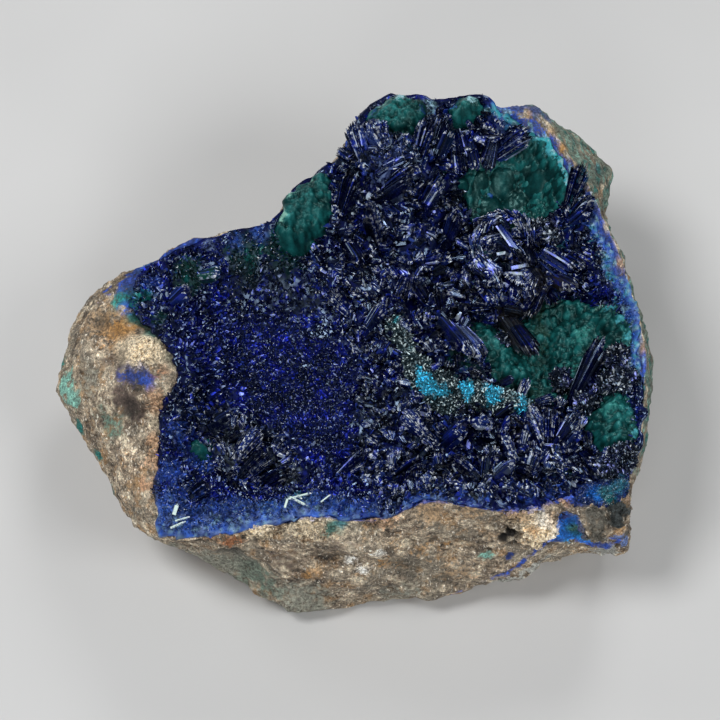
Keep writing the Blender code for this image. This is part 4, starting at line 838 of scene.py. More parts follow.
def stain_colors(points, stains, dimensions, ragged=0.5):
    """The colour and strength that a list of stains gives each point; their edges are ragged."""
    wobble = rough(points, 1.5, 3)
    color = np.zeros((len(points), 4))
    for stain in stains:
        place, (radius, hue, strength) = stain[:dimensions], stain[dimensions:]
        distance = np.linalg.norm(points[:, :dimensions] - np.array(place), axis=1)
        lay_over(color, hue, strength * ease(1.35 - distance / radius + ragged * wobble))
    return color


def line_distance(points, line):
    """How far each point is from a line through the given places."""
    far = np.full(len(points), 1e9)
    for a, b in zip(np.array(line[:-1]), np.array(line[1:])):
        along = np.clip((points - a) @ (b - a) / ((b - a) ** 2).sum(), 0, 1)
        far = np.minimum(far, np.linalg.norm(points - a - along[:, None] * (b - a), axis=1))
    return far


def add_rim_powder(color, points):
    """Lays the bright cyan powder of the right rim over the colours of any piece."""
    wobble, speck = rough(points + 2.0, 1.3, 3), rough(points - 9.0, 0.6)
    share = ease(1.3 - line_distance(points * (1, 1, 0), RIM_POWDER) / POWDER_WIDTH + 1.2 * wobble)
    lay_over(color, POWDER_CYAN, 0.9 * share)
    lay_over(color, PALE_CYAN, 0.9 * share * fade(speck, 0.12, 0.15))


def crust_colors(points):
    """Stains of the crust and the painted shade in the wreath's hole, with the bright bloom along the right
    rim and the lower edge; its pale specks are painted glints on the lower edge and pale powder on the right
    rim.
    """
    color = stain_colors(points, CRUST_STAINS_AND_SHADE, 2)
    x, y, depth = points[:, 0], points[:, 1], depth_inside(crust_edge, points[:, :2])
    wobble, fleck, speck = rough(points, 1.1, 2), rough(points + 7.0, 0.8, 2), rough(points - 9.0, 0.6)
    right = fade(x, 26.0, 4.0) * fade(y, -14.0, 6.0)
    left = fade(-x, -2.0, 8.0)
    low = fade(-y, 26.5, 3.5) * (0.4 * fade(-x, -24.0, 8.0) + 0.6 * left)
    bloom = np.maximum(right * ease((RIM_BLOOM - depth) / 1.2 + 0.9 * wobble - 0.2),
                       low * ease((1.6 + 2.4 * left - depth) / 2.0 + 2.0 * wobble))
    pale = ease(rough(points - 5.0, 1.6, 3) * 3 - 0.15)
    lay_over(color, RIM_BLUE, 0.9 * bloom)
    lay_over(color, POWDER_BLUE, 0.9 * bloom * pale * np.where(low > right, 1.0, 0.45))
    lay_over(color, CYAN, 0.8 * right * ease(RIM_BLOOM + 0.4 - depth) * fade(fleck, 0.14, 0.2))
    lay_over(color, DEEP_BLUE, 0.8 * low * fade(rough(points + 3.0, 1.4, 3), 0.03, 0.12))
    # Pale specks: painted glints on the lower edge, pale powder along the right rim.
    lay_over(color, PALE_CYAN, np.where(low > right, 0.5, 0.9) * bloom * fade(speck, 0.2, 0.1))
    add_rim_powder(color, points)
    return color


# ---- materials


class Shader:
    """A material under construction: short names for adding and joining its nodes."""

    def __init__(self, name, **fixed):
        self.material = bpy.data.materials.new(name)
        self.material.use_nodes = True
        self.tree = self.material.node_tree
        self.body = self.tree.nodes["Principled BSDF"]
        for socket, value in fixed.items():
            self.body.inputs[socket.replace("_", " ")].default_value = value
        self.place = self.tree.nodes.new("ShaderNodeTexCoord").outputs["Object"]

    def join(self, value, socket):
        """Links a socket to another, or gives it a value."""
        if isinstance(value, bpy.types.NodeSocket):
            self.tree.links.new(value, socket)
        elif isinstance(value, tuple) and len(value) == 3 and socket.type == "RGBA":
            socket.default_value = (*value, 1.0)
        else:
            socket.default_value = value

    def noise(self, size_mm, detail=4.0, roughness=0.6, at=None):
        """A pattern whose features are about size_mm across."""
        node = self.tree.nodes.new("ShaderNodeTexNoise")
        self.join(at or self.place, node.inputs["Vector"])
        node.inputs["Scale"].default_value = 1000.0 / size_mm
        node.inputs["Detail"].default_value = detail
        node.inputs["Roughness"].default_value = roughness
        return node.outputs["Fac"]

    def stretched(self, scale, turn):
        """Object coordinates squeezed and turned, for a pattern with a grain."""
        node = self.tree.nodes.new("ShaderNodeMapping")
        self.join(self.place, node.inputs["Vector"])
        node.inputs["Scale"].default_value = scale
        node.inputs["Rotation"].default_value = turn
        return node.outputs["Vector"]

    def ramp(self, value, *stops):
        """Colours along a value: stops are (position, colour)."""
        node = self.tree.nodes.new("ShaderNodeValToRGB")
        self.join(value, node.inputs["Fac"])
        while len(node.color_ramp.elements) < len(stops):
            node.color_ramp.elements.new(0.5)
        for element, (position, color) in zip(node.color_ramp.elements, stops):
            element.position = position
            element.color = (*color, 1.0) if isinstance(color, tuple) else (color, color, color, 1.0)
        return node.outputs["Color"]

    def range(self, value, low, high, to_low=0.0, to_high=1.0):
        """A value's range made another."""
        node = self.tree.nodes.new("ShaderNodeMapRange")
        for socket, given in zip(node.inputs, (value, low, high, to_low, to_high)):
            self.join(given, socket)
        return node.outputs["Result"]

    def mix(self, share, first, second, blend="MIX"):
        node = self.tree.nodes.new("ShaderNodeMix")
        node.data_type = "RGBA"
        node.blend_type = blend
        for number, given in ((0, share), (6, first), (7, second)):
            self.join(given, node.inputs[number])
        return node.outputs[2]

    def times(self, first, second):
        """Two colours multiplied."""
        return self.mix(1.0, first, second, "MULTIPLY")

    def math(self, operation, first, second):
        node = self.tree.nodes.new("ShaderNodeMath")
        node.operation = operation
        self.join(first, node.inputs[0])
        self.join(second, node.inputs[1])
        return node.outputs["Value"]

    def broken(self, strength, grain):
        """A stain's strength broken up by a grain into specks with crisp edges."""
        raised = self.math("ADD", strength, self.range(grain, 0.3, 0.7, -0.55, 0.45))
        return self.range(raised, 0.25, 0.65)

    def stored(self, name):
        """The outputs of what each point has stored under a name."""
        node = self.tree.nodes.new("ShaderNodeAttribute")
        node.attribute_name = name
        return node.outputs

    def finish(self, color, roughness, height=None, depth_mm=0.0, strength=0.0):
        """The material, with fine bumps where a height is given."""
        self.join(color, self.body.inputs["Base Color"])
        self.join(roughness, self.body.inputs["Roughness"])
        if height is not None:
            bump = self.tree.nodes.new("ShaderNodeBump")
            bump.inputs["Distance"].default_value = depth_mm * MM
            bump.inputs["Strength"].default_value = strength
            self.join(height, bump.inputs["Height"])
            self.join(bump.outputs["Normal"], self.body.inputs["Normal"])
        return self.material


def rock_material():
    """Mottled brown stone with pale flakes, under its stains, with painted shade in its hollows and a painted
    highlight on its bumps.
    """
    s = Shader("host_rock_surface", IOR=1.5)
    patches = s.noise(2.6, 7.0, 0.75, at=s.stretched((1.0, 1.0, 1.8), (0.0, 0.6, 0.3)))
    base = s.ramp(patches, *ROCK_BROWNS)
    base = s.mix(s.ramp(s.noise(6.0, 4.0), (0.47, 0.0), (0.62, 0.55)), base, ROCK_GREY)
    base = s.mix(s.ramp(s.noise(3.2, 6.0, 0.7), (0.52, 0.0), (0.62, 0.65)), base, ROCK_ORANGE)
    flakes = s.noise(0.55, 3.0, 0.6, at=s.stretched((2.0, 1.0, 0.9), (0.3, 0.8, 0.5)))
    base = s.mix(s.ramp(flakes, (0.60, 0.0), (0.65, 0.9)), base, ROCK_FLAKE)
    stain = s.stored("stain")
    base = s.mix(s.broken(stain["Alpha"], s.noise(0.9, 6.0, 0.75)), base, stain["Color"])
    grain = s.noise(0.45, 5.0, 0.8)
    base = s.times(base, s.ramp(grain, (0.34, 0.18), (0.50, 0.93), (0.66, 2.15)))
    # Painted shade in the hollows and painted highlight on the bumps, from the stored relief.
    base = s.times(base, s.ramp(s.stored("relief")["Fac"], (0.0, 0.32), (0.5, 1.0), (1.0, 1.45)))
    return s.finish(base, s.range(grain, 0.3, 0.7, 0.85, 0.45), grain, 0.25, 1.0)


def azurite_material(name, stops, roughness, grain_mm):
    """Blue crystals: dark to light by their stored shade, the lightest a painted glint, with patches of
    painted glow through them and painted glints on their edges, under the crust's stains.
    """
    s = Shader(name, IOR=1.62, Specular_Tint=(0.52, 0.72, 1.0, 1.0))
    shade = s.stored("shade")["Fac"]
    blue = s.ramp(shade, *stops)
    # Patches where the blue is deeper and more vivid: painted glow of light through thin crystals.
    deep = s.ramp(s.noise(2.2, 3.0, 0.6), (0.50, 0.0), (0.62, 1.0))
    blue = s.mix(deep, blue, s.times(blue, (1.0, 1.0, 2.4)))
    blue = s.times(blue, s.ramp(s.noise(3.5, 3.0), (0.38, 0.40), (0.62, 1.45)))
    tone = s.stored("tone")
    lit = s.times(tone["Color"], s.ramp(shade, (0.0, 0.15), (0.6, 0.7), (1.0, 1.5)))
    color = s.mix(s.broken(tone["Alpha"], s.noise(0.7, 4.0, 0.7)), blue, lit)
    # Painted glints: short dashes of pale colour on the edge faces of the lighter crystals.
    glints = s.noise(0.5, 2.0)
    edge = s.math("MULTIPLY", s.stored("edge")["Fac"], s.range(shade, 0.3, 0.9, 0.03, 0.95))
    color = s.mix(s.math("MULTIPLY", edge, s.range(glints, 0.40, 0.48, 0.1, 1.0)), color,
                  s.ramp(glints, *EDGE_GLINTS))
    return s.finish(color, s.range(tone["Alpha"], 0.0, 1.0, roughness, roughness + 0.25),
                    s.noise(grain_mm, 3.0, 0.6), 0.02, 0.35)


def malachite_material():
    """Green lumps: painted shade between them and a painted highlight on their crests, under the malachite's
    stains.
    """
    s = Shader("malachite_lumps", IOR=1.6, Specular_IOR_Level=0.3, Specular_Tint=(0.5, 1.0, 0.95, 1.0))
    green = s.ramp(s.stored("crest")["Fac"], *MALACHITE_SHADED_GREENS)
    green = s.times(green, s.ramp(s.noise(2.6, 4.0), (0.38, 0.7), (0.62, 1.25)))
    stain = s.stored("stain")
    green = s.mix(s.broken(stain["Alpha"], s.noise(0.6, 4.0, 0.7)), green, stain["Color"])
    grain = s.noise(0.25, 4.0, 0.7)
    green = s.times(green, s.ramp(grain, (0.3, 0.7), (0.7, 1.3)))
    return s.finish(green, s.range(grain, 0.3, 0.7, 0.24, 0.44), grain, 0.03, 0.5)


def chrysocolla_material():
    """Grey sugary points: dark to a painted glint by their stored shade, under the band's stains."""
    s = Shader("chrysocolla_druse", IOR=1.6, Specular_Tint=(0.6, 0.85, 1.0, 1.0))
    shade, tone = s.stored("shade")["Fac"], s.stored("tone")
    lit = s.times(tone["Color"], s.ramp(shade, (0.0, 0.12), (0.7, 0.9), (1.0, 2.4)))
    color = s.mix(s.broken(tone["Alpha"], s.noise(0.8, 4.0, 0.7)), s.ramp(shade, *CHRYSOCOLLA_GREYS_AND_GLINTS), lit)
    grain = s.noise(0.3, 3.0, 0.6)
    return s.finish(color, s.range(grain, 0.3, 0.7, 0.15, 0.35), grain, 0.02, 0.4)


# ---- crystals and the trees that grow them


def crystal(name, points, faces, bevels):
    """One flat-faced crystal, a unit long along +Z and a unit wide, to be copied in Geometry Nodes."""
    mesh = bpy.data.meshes.new(name)
    mesh.from_pydata(points, [], faces)
    # The bevel faces are stored as edge: the azurite material paints its glints there.
    attribute = mesh.attributes.new("edge", "FLOAT", "FACE")
    attribute.data.foreach_set("value", [1.0 if number in bevels else 0.0 for number in range(len(faces))])
    placed = bpy.data.objects.new(name, mesh)
    bpy.context.scene.collection.objects.link(placed)
    return placed


def lath_crystal():
    """A bladed crystal: a flat six-sided prism that ends in a chisel edge."""
    ring = [(-0.5, 0.0), (-0.36, -0.5), (0.36, -0.5), (0.5, 0.0), (0.36, 0.5), (-0.36, 0.5)]
    points = [(x, y, z) for z in (0.0, 0.84) for x, y in ring] + [(-0.26, 0.0, 1.0), (0.26, 0.0, 1.0)]
    faces = [(5, 4, 3, 2, 1, 0)] + [(i, (i + 1) % 6, 6 + (i + 1) % 6, 6 + i) for i in range(6)]
    faces += [(7, 8, 13, 12), (10, 11, 12, 13), (8, 9, 13), (9, 10, 13), (11, 6, 12), (6, 7, 12)]
    return crystal("lath", points, faces, (3, 6, 7, 8, 9, 10, 11, 12))


def point_crystal():
    """A stubby crystal point: a slanted four-sided prism with a chisel end."""
    points = [(-0.5, -0.35, -0.25), (0.5, -0.35, -0.25), (0.5, 0.35, -0.25), (-0.5, 0.35, -0.25),
              (-0.45, -0.32, 0.55), (0.45, -0.32, 0.45), (0.45, 0.32, 0.45), (-0.45, 0.32, 0.55),
              (-0.18, 0.05, 1.0), (0.25, -0.02, 0.92)]
    faces = [(3, 2, 1, 0), (0, 1, 5, 4), (1, 2, 6, 5), (2, 3, 7, 6), (3, 0, 4, 7),
             (4, 5, 9, 8), (5, 6, 9), (6, 7, 8, 9), (7, 4, 8)]
    return crystal("point", points, faces, (6, 8))


class Tree:
    """A Geometry Nodes tree under construction."""

    def __init__(self, name):
        self.group = bpy.data.node_groups.new(name, "GeometryNodeTree")
        self.group.interface.new_socket(name="Geometry", in_out="INPUT", socket_type="NodeSocketGeometry")
        self.group.interface.new_socket(name="Geometry", in_out="OUTPUT", socket_type="NodeSocketGeometry")
        self.start = self.group.nodes.new("NodeGroupInput")
        self.end = self.group.nodes.new("NodeGroupOutput")

    def input(self, name, kind):
        """A named input of the tree."""
        self.group.interface.new_socket(name=name, in_out="INPUT", socket_type="NodeSocket" + kind)
        return self.start.outputs[name]

    def add(self, kind, inputs=(), **settings):
        """A node with its settings, and its inputs by name or number."""
        node = self.group.nodes.new(kind)
        for name, value in settings.items():
            setattr(node, name, value)
        for key, value in dict(inputs).items():
            if isinstance(value, bpy.types.NodeSocket):
                self.group.links.new(value, node.inputs[key])
            else:
                node.inputs[key].default_value = value
        return node

    def stored(self, name, kind):
        """What each point of the geometry has stored under a name."""
        return self.add("GeometryNodeInputNamedAttribute", {"Name": name}, data_type=kind).outputs[0]

    def close(self, geometry, material):
        """Makes the crystals real, gives them their material and ends the tree."""
        real = self.add("GeometryNodeRealizeInstances", {"Geometry": geometry})
        done = self.add("GeometryNodeSetMaterial", {"Geometry": real.outputs[0], "Material": material})
        self.group.links.new(done.outputs[0], self.end.inputs[0])
        return self.group


def scatter_tree():
    """Crystals scattered over a surface, standing on it with a random lean, turn and size."""
    t = Tree("crystals_over_a_surface")
    shape, material = t.input("Crystal", "Object"), t.input("Material", "Material")
    density, share = t.input("Crystals per square metre", "Float"), t.input("Where", "String")
    smallest, largest = t.input("Smallest", "Vector"), t.input("Largest", "Vector")
    lean, seed = t.input("Lean", "Float"), t.input("Seed", "Int")
    wanted = t.add("ShaderNodeMath", {0: density, 1: t.stored(share, "FLOAT")}, operation="MULTIPLY")
    spots = t.add("GeometryNodeDistributePointsOnFaces", {
        "Mesh": t.start.outputs[0], "Density": wanted.outputs[0], "Seed": seed}, distribute_method="RANDOM")
    back = t.add("ShaderNodeMath", {0: lean, 1: -1.0}, operation="MULTIPLY")
    low = t.add("ShaderNodeCombineXYZ", {0: back.outputs[0], 1: back.outputs[0], 2: 0.0})
    high = t.add("ShaderNodeCombineXYZ", {0: lean, 1: lean, 2: 2 * math.pi})
    tilt = t.add("FunctionNodeRandomValue", {0: low.outputs[0], 1: high.outputs[0], "Seed": seed},
                 data_type="FLOAT_VECTOR")
    turned = t.add("FunctionNodeEulerToRotation", {0: tilt.outputs[0]})
    rotation = t.add("FunctionNodeRotateRotation", {0: spots.outputs["Rotation"], 1: turned.outputs[0]},
                     rotation_space="LOCAL")
    other = t.add("ShaderNodeMath", {0: seed, 1: 7.0}, operation="ADD")
    size = t.add("FunctionNodeRandomValue", {0: smallest, 1: largest, "Seed": other.outputs[0]},
                 data_type="FLOAT_VECTOR")
    scaled = t.add("ShaderNodeVectorMath", {0: size.outputs[0], "Scale": t.stored("scale", "FLOAT")},
                   operation="SCALE")
    info = t.add("GeometryNodeObjectInfo", {"Object": shape})
    placed = t.add("GeometryNodeInstanceOnPoints", {
        "Points": spots.outputs[0], "Instance": info.outputs["Geometry"],
        "Rotation": rotation.outputs[0], "Scale": scaled.outputs[0]})
    shade = t.add("FunctionNodeRandomValue", {2: 0.0, 3: 1.0, "Seed": seed}, data_type="FLOAT")
    stored = t.add("GeometryNodeStoreNamedAttribute", {"Geometry": placed.outputs[0], "Name": "shade",
                                                       "Value": shade.outputs[1]},
                   data_type="FLOAT", domain="INSTANCE")
    return t.close(stored.outputs[0], material)


def planted_tree():
    """A crystal at every point, turned and sized by the numbers stored there."""
    t = Tree("crystals_at_points")
    shape, material = t.input("Crystal", "Object"), t.input("Material", "Material")
    rotation = t.add("FunctionNodeEulerToRotation", {0: t.stored("turn", "FLOAT_VECTOR")})
    info = t.add("GeometryNodeObjectInfo", {"Object": shape})
    placed = t.add("GeometryNodeInstanceOnPoints", {
        "Points": t.start.outputs[0], "Instance": info.outputs["Geometry"],
        "Rotation": rotation.outputs[0], "Scale": t.stored("size", "FLOAT_VECTOR")})
    return t.close(placed.outputs[0], material)


def run_tree(name, source, tree, **inputs):
    """A plain mesh made by a tree on an object. The inputs are set by their sockets' identifiers."""
    change = source.modifiers.new("grow", "NODES")
    change.node_group = tree
    named = {item.name.lower().replace(" ", "_"): item.identifier for item in tree.interface.items_tree
             if item.in_out == "INPUT"}
    for key, value in inputs.items():
        change[named[key]] = value
    view = bpy.context.evaluated_depsgraph_get()
    mesh = bpy.data.meshes.new_from_object(source.evaluated_get(view))
    mesh.name = name
    source.modifiers.remove(change)
    made = bpy.data.objects.new(name, mesh)
    bpy.context.scene.collection.objects.link(made)
    return made


def scatter(name, source, where, tree, shape, material):
    """The scattered crystals of one piece. where is the stored number that says how thickly they stand."""
    density, smallest, largest, lean, seed = SCATTERED[name]
    return run_tree(name, source, tree, crystal=shape, material=material, crystals_per_square_metre=density,
                    where=where, smallest=tuple(MM * side for side in smallest),
                    largest=tuple(MM * side for side in largest), lean=lean, seed=seed)


def plant(name, crystals, tree, shape, material, colors=None):
    """Crystals given as (root, aim, pile, width, thickness, length, shade), made by the planted tree.
    They point along aim, and pile is the way their flat faces look."""
    roots = np.array([tuple(c[0]) for c in crystals])
    source = make_piece(name + "_roots", roots, [])
    turns, sizes = [], []
    for _, aim, pile, width, thickness, length, _ in crystals:
        up = Vector(aim).normalized()
        face = Vector(pile) - Vector(pile).dot(up) * up
        face.normalize()
        turns.append(tuple(Matrix((face.cross(up), face, up)).transposed().to_euler()))
        sizes.append((width * MM, thickness * MM, length * MM))
    for key, values in (("turn", turns), ("size", sizes)):
        attribute = source.data.attributes.new(key, "FLOAT_VECTOR", "POINT")
        attribute.data.foreach_set("vector", np.array(values, np.float32).ravel())
    add_values(source, "shade", [c[6] for c in crystals])
    if colors is None:
        colors = crust_colors(roots)
        colors[:, 3] *= np.where(colors[:, 1] > 0.08, 0.3, 0.75)
    add_colors(source, "tone", colors)
    made = run_tree(name, source, tree, crystal=shape, material=material)
    bpy.data.objects.remove(source)
    return made


# ---- the rock


def ledges(points):
    """How far the broken side stands out, as slanting beds of stone."""
    bed = (points[:, 2] + 0.35 * points[:, 0] + 1.5 * rough(points, 9.0)) / LEDGE_HEIGHT
    return LEDGE_DEPTH * (2 * np.abs((bed % 1.0) - 0.5) - 0.5)


def upper_face(places):
    """Height of the rock's upper face: smooth under the crust and rough where it is bare."""
    inside = depth_inside(crust_edge, places)
    bare = np.clip((-inside - BARE_MARGIN) / 2.0, 0, 1)
    drop = BED_DROP * np.clip(0.5 + inside / 2.0, 0, 1)
    bumps = flat_rough(places, 0, 3.5) + 0.6 * flat_rough(places, 5, 1.8)
    return ground(places) - drop + bare * BARE_ROUGHNESS * bumps


def rock_rows():
    """The rock's rows of points from the middle of the upper face, over the rim and down the side."""
    rim = closed_curve([station[0] for station in SIDE], COLUMNS_PER_STATION)
    belly = closed_curve([station[1] for station in SIDE], COLUMNS_PER_STATION)
    foot = closed_curve([(*station[2], 0.0) for station in SIDE], COLUMNS_PER_STATION)
    hub = np.array(HUB)
    shares = np.linspace(0, 1, 80)
    spokes = (hub + (rim[:, None, :2] - hub) * shares[:, None]).reshape(-1, 2)
    covered = (depth_inside(crust_edge, spokes) > 1.5).reshape(len(rim), -1)
    hidden = (covered * shares).max(1)
    parts = [hidden * part for part in np.linspace(0, 1, HIDDEN_ROWS + 1)[1:]]
    parts += [hidden + (1 - hidden) * part for part in np.linspace(0, 1, BARE_ROWS + 1)[1:]]
    top = []
    for part in parts:
        places = hub + (rim[:, :2] - hub) * part[:, None]
        top.append(np.column_stack([places, upper_face(places)]))
    start = np.column_stack([rim[:, :2], ground(rim[:, :2])])
    out = belly[:, :2] - hub
    out = np.column_stack([out / np.linalg.norm(out, axis=1)[:, None], np.zeros(len(out))])
    side = []
    for step in range(1, UPPER_ROWS + LOWER_ROWS + 1):
        if step <= UPPER_ROWS:
            place = start + (belly - start) * step / UPPER_ROWS
        else:
            place = belly + (foot - belly) * (step - UPPER_ROWS) / LOWER_ROWS
        share = min(1.0, (UPPER_ROWS + LOWER_ROWS - step) / 6) * min(1.0, step / 5)
        push = ROUGHNESS * (rough(place, 7.0) + 0.6 * rough(place, 3.0)) + ledges(place)
        side.append(place + out * (push * share)[:, None])
    return top, side


def crumbly(points):
    """1 in the crumbly places of the rock and 0 away from them."""
    near = sum(ease(1.4 - np.linalg.norm(points - np.array(place), axis=1) / radius)
               for *place, radius in CRUMBLY)
    return np.clip(near, 0, 1)


def rock_relief(points):
    """The fine relief of the broken stone: blocky steps, bumps, crumbs and pits, in millimetres."""
    turned = points @ np.array(Matrix.Rotation(0.55, 3, "Y")) * np.array([0.5, 0.8, 1.0])
    beds = rough(turned, 2.2, 4) * 3.0
    steps = (np.floor(beds) + ease(beds % 1.0 * 2.2)) / 3.0
    blocks = 0.5 - np.abs(rough(points + 30.0, 3.4, 3))
    relief = 0.28 * steps + 0.25 * blocks + 0.26 * rough(points, 0.9, 4)
    for *place, radius, height in ROCK_BUMPS:
        relief += height * ease(1.3 - np.linalg.norm(points - np.array(place), axis=1) / radius)
    return relief + crumbly(points) * (0.95 * np.abs(rough(points, 1.3, 3)) - 0.2)


def rock_colors(points, on_top):
    """Stains of the rock, with its mottled right wall, pale crest and the blue dust next to the crust."""
    color = stain_colors(points, ROCK_STAINS_AND_SHADE, 3)
    x, y, z = points.T
    depth = depth_inside(crust_edge, points[:, :2])
    wobble, patch, fleck = rough(points, 1.3, 3), rough(points - 4.0, 3.2, 3), rough(points + 11.0, 1.1, 2)

    right = ease((x - 20.0 + 3.0 * patch) / 8.0) * ease((y + 26.0 + 4.0 * patch) / 8.0)
    wall = right * np.where(on_top, 0.0, 1.0) * ease((z - 4.0 + 5.0 * patch) / 12.0)
    lay_over(color, WALL_GREEN, 0.9 * wall * ease(0.7 + 1.2 * patch) * (1 - 0.75 * color[:, 3]))
    lay_over(color, BROWN, 0.5 * wall * fade(rough(points - 9.0, 1.8, 3), 0.2, 0.2))
    lay_over(color, MINT, 0.5 * wall * fade(fleck, 0.25, 0.15))
    lay_over(color, TEAL, 0.8 * wall * fade(-fleck, 0.25, 0.12))
    for hue, width, strength, line in ROCK_LINES:
        lay_over(color, hue, strength * ease(1.4 - line_distance(points, line) / width + 0.7 * wobble)
                 * (0.5 + 0.5 * ease(0.7 + 3.0 * fleck)))

    rim, left = fade(x, 18.0, 4.0) * fade(y, -20.0, 4.0), fade(-x, 24.0, 3.0)
    dust = on_top * ease((depth + 1.0 + 0.7 * rim) / 0.8 + 1.3 * wobble)
    lay_over(color, BRIGHT_BLUE, 0.8 * dust * (1 - left) * (1 - 0.5 * ease(fleck * 3)))
    lay_over(color, PALE_CYAN, 0.9 * dust * rim * fade(fleck, 0.15, 0.2))
    lay_over(color, VIOLET, 0.7 * dust * rim * ease(wobble * 2))
    lay_over(color, DARK_GREEN, 0.6 * dust * left * fade(y, -9.0, 2.0))

    behind = on_top * fade(y, 4.0, 4.0) * fade(-x, -20.0, 8.0)
    lay_over(color, DEEP_BLUE, 0.9 * behind * ease(depth + 3.2 + 0.6 * wobble))
    lay_over(color, BRIGHT_BLUE, 0.9 * behind * fade(fleck, 0.02, 0.2))
    crest = stain_colors(points, CREST_SPOTS, 3)
    lay_over(color, crest[:, :3], np.clip(crest[:, 3], 0, 1))
    return color


def make_rock():
    """The rock, with the places of its loose grains stored."""
    top, side = rock_rows()
    hub, foot = np.array(HUB), side[-1][:, :2]
    underside = [np.column_stack([hub + (foot - hub) * share, np.zeros(len(foot))])
                 for share in UNDERSIDE_ROWS]
    rows = top + side + underside
    points = np.vstack([[(*HUB, float(upper_face(HUB)[0]))], *rows, [(*HUB, 0.0)]])
    rock = make_piece("rock_surface", points, loop_faces(len(rows), len(rows[0])))
    inside = depth_inside(crust_edge, points[:, :2])
    on_top = np.arange(len(points)) < 1 + len(top) * len(rows[0])
    shown = np.where(on_top, ease(1.0 - inside), 1.0) * ease(points[:, 2] / 1.2)
    relief = rock_relief(points)
    push_out(rock, shown * relief)
    # The stored relief, high on bumps and low in hollows, drives the rock material's painted highlight and
    # shade.
    add_values(rock, "relief", np.clip(0.5 + 0.7 * (relief - relief.mean()), 0, 1))
    add_colors(rock, "stain", rock_colors(points, on_top))
    bare = np.where(on_top, ease(-inside / 0.5), 1.0)
    along_crust = 0.12 * on_top * ease(inside + 1.6)
    add_values(rock, "crumbs", bare * np.clip(crumbly(points) + along_crust, 0, 1) * (points[:, 2] > 3))
    add_values(rock, "scale", 0.8 + 0.5 * crumbly(points))
    return rock


# ---- the azurite crust


def make_crust_bed():
    """The crust without its crystals. Its stored numbers say where each kind of crystal grows."""
    hub = np.array(HUB)
    edge = even_loop(crust_edge, EDGE_STEP)
    out = (edge - hub) / np.linalg.norm(edge - hub, axis=1)[:, None]
    ragged = np.clip(1.1 * rough(np.column_stack([edge, np.zeros(len(edge))]), 2.4, 3), -1.1, 0.4)
    behind = fade(edge[:, 1], 4.0, 4.0) * fade(-edge[:, 0], -22.0, 4.0)
    edge = edge + out * (ragged * (1 - 0.6 * behind) + behind)[:, None]
    hole_x, hole_y, hole_radius, hole_depth = HOLE

    def top(places):
        depth = depth_inside(edge, places)
        free = clear_of_lumps(places, -0.2, 0.8)
        size = np.clip(crystal_size(places), 0.4, 1.0)
        full = crust_bed(places) - BED_SINK * ease(depth / 1.2) * size
        height = (ground(places) + 0.1
                  + (full - ground(places) - 0.1) * (0.12 + 0.88 * free) * ease(0.1 + depth / 1.5))
        from_hole = np.hypot(places[:, 0] - hole_x, places[:, 1] - hole_y)
        height -= hole_depth * ease(1.4 - from_hole / hole_radius)
        return height + 0.22 * flat_rough(places, 6, 1.0) * ease(depth / 0.5)

    points, faces, under = sheet(edge, BED_STEP, top, lambda places: ground(places) - BED_BACK)
    bed = make_piece("azurite_bed", points, faces)
    colors = crust_colors(points)
    add_colors(bed, "tone", colors)
    add_values(bed, "shade", 0.25 + 0.3 * rough(points, 1.2, 2) + 0.42 * np.clip(colors[:, 3], 0, 1))
    places, depth = points[:under, :2], depth_inside(edge, points[:, :2])
    powder = colors[:under, 3] * fade(colors[:under, 2], 0.25, 0.1)
    scale, grown = np.full(len(points), 0.3), np.zeros(len(points))
    scale[:under] = np.clip(crystal_size(places), 0.0, 1.15) * (1 - 0.35 * powder)
    grown[:under] = fade(depth[:under], 0.25, 0.6) * clear_of_lumps(places, -0.5, 0.1)
    scale[:under] *= 0.55 + 0.45 * fade(depth[:under], 0.2, 1.4)
    fine = ease((0.95 - scale) / 0.2)
    add_values(bed, "scale", scale)
    add_values(bed, "fine", grown * fine / np.maximum(scale, 0.42) ** 2)
    add_values(bed, "coarse", grown * fade(depth, 0.6, 1.2) * (1 - fine) / scale**2)
    return bed


def sheaf_spots(seed):
    """Places for sheaves, spaced by the crystals' size there."""
    rng = np.random.default_rng(seed)
    low, high = crust_edge.min(0), crust_edge.max(0)
    places = low + (high - low) * rng.random((SHEAF_TRIES, 2))
    size = crystal_size(places)
    wanted = (size > SHEAF_SIZE) & (depth_inside(crust_edge, places) > 1.0)
    wanted &= clear_of_lumps(places, -0.4, 0.2) > 0.5
    wanted &= np.hypot(places[:, 0] - HOLE[0], places[:, 1] - HOLE[1]) > HOLE[2] * 1.5
    kept, sizes = np.zeros((0, 2)), []
    for place, spread in zip(places[wanted], size[wanted]):
        if not len(kept) or ((kept - place) ** 2).sum(1).min() > (SHEAF_SPACING * spread) ** 2:
            kept = np.vstack([kept, place])
            sizes.append(spread)
    return kept, sizes


def blades(root, axis, pile, width, fan, length, broad, thick, base, rng):
    """Thin blades side by side, spread at the tips by the fan angle and shorter towards the sides."""
    across = axis.cross(pile)
    count = max(4, round((width + 1.4 * fan * length) / thick))
    made = []
    for number in range(count):
        aside = (number + rng.uniform(0.2, 0.8)) / count - 0.5
        turn = Matrix.Rotation(2 * fan * aside, 3, across)
        reach = length * (1 - 0.9 * aside**2) * rng.uniform(0.88, 1.03)
        made.append((root + pile * (aside * width), turn @ axis, turn @ pile, broad * rng.uniform(0.8, 1.15),
                     thick * rng.uniform(0.8, 1.3), reach,
                     min(PALEST_BLADE, max(0.0, base + rng.gauss(0.0, 0.24)))))
    return made


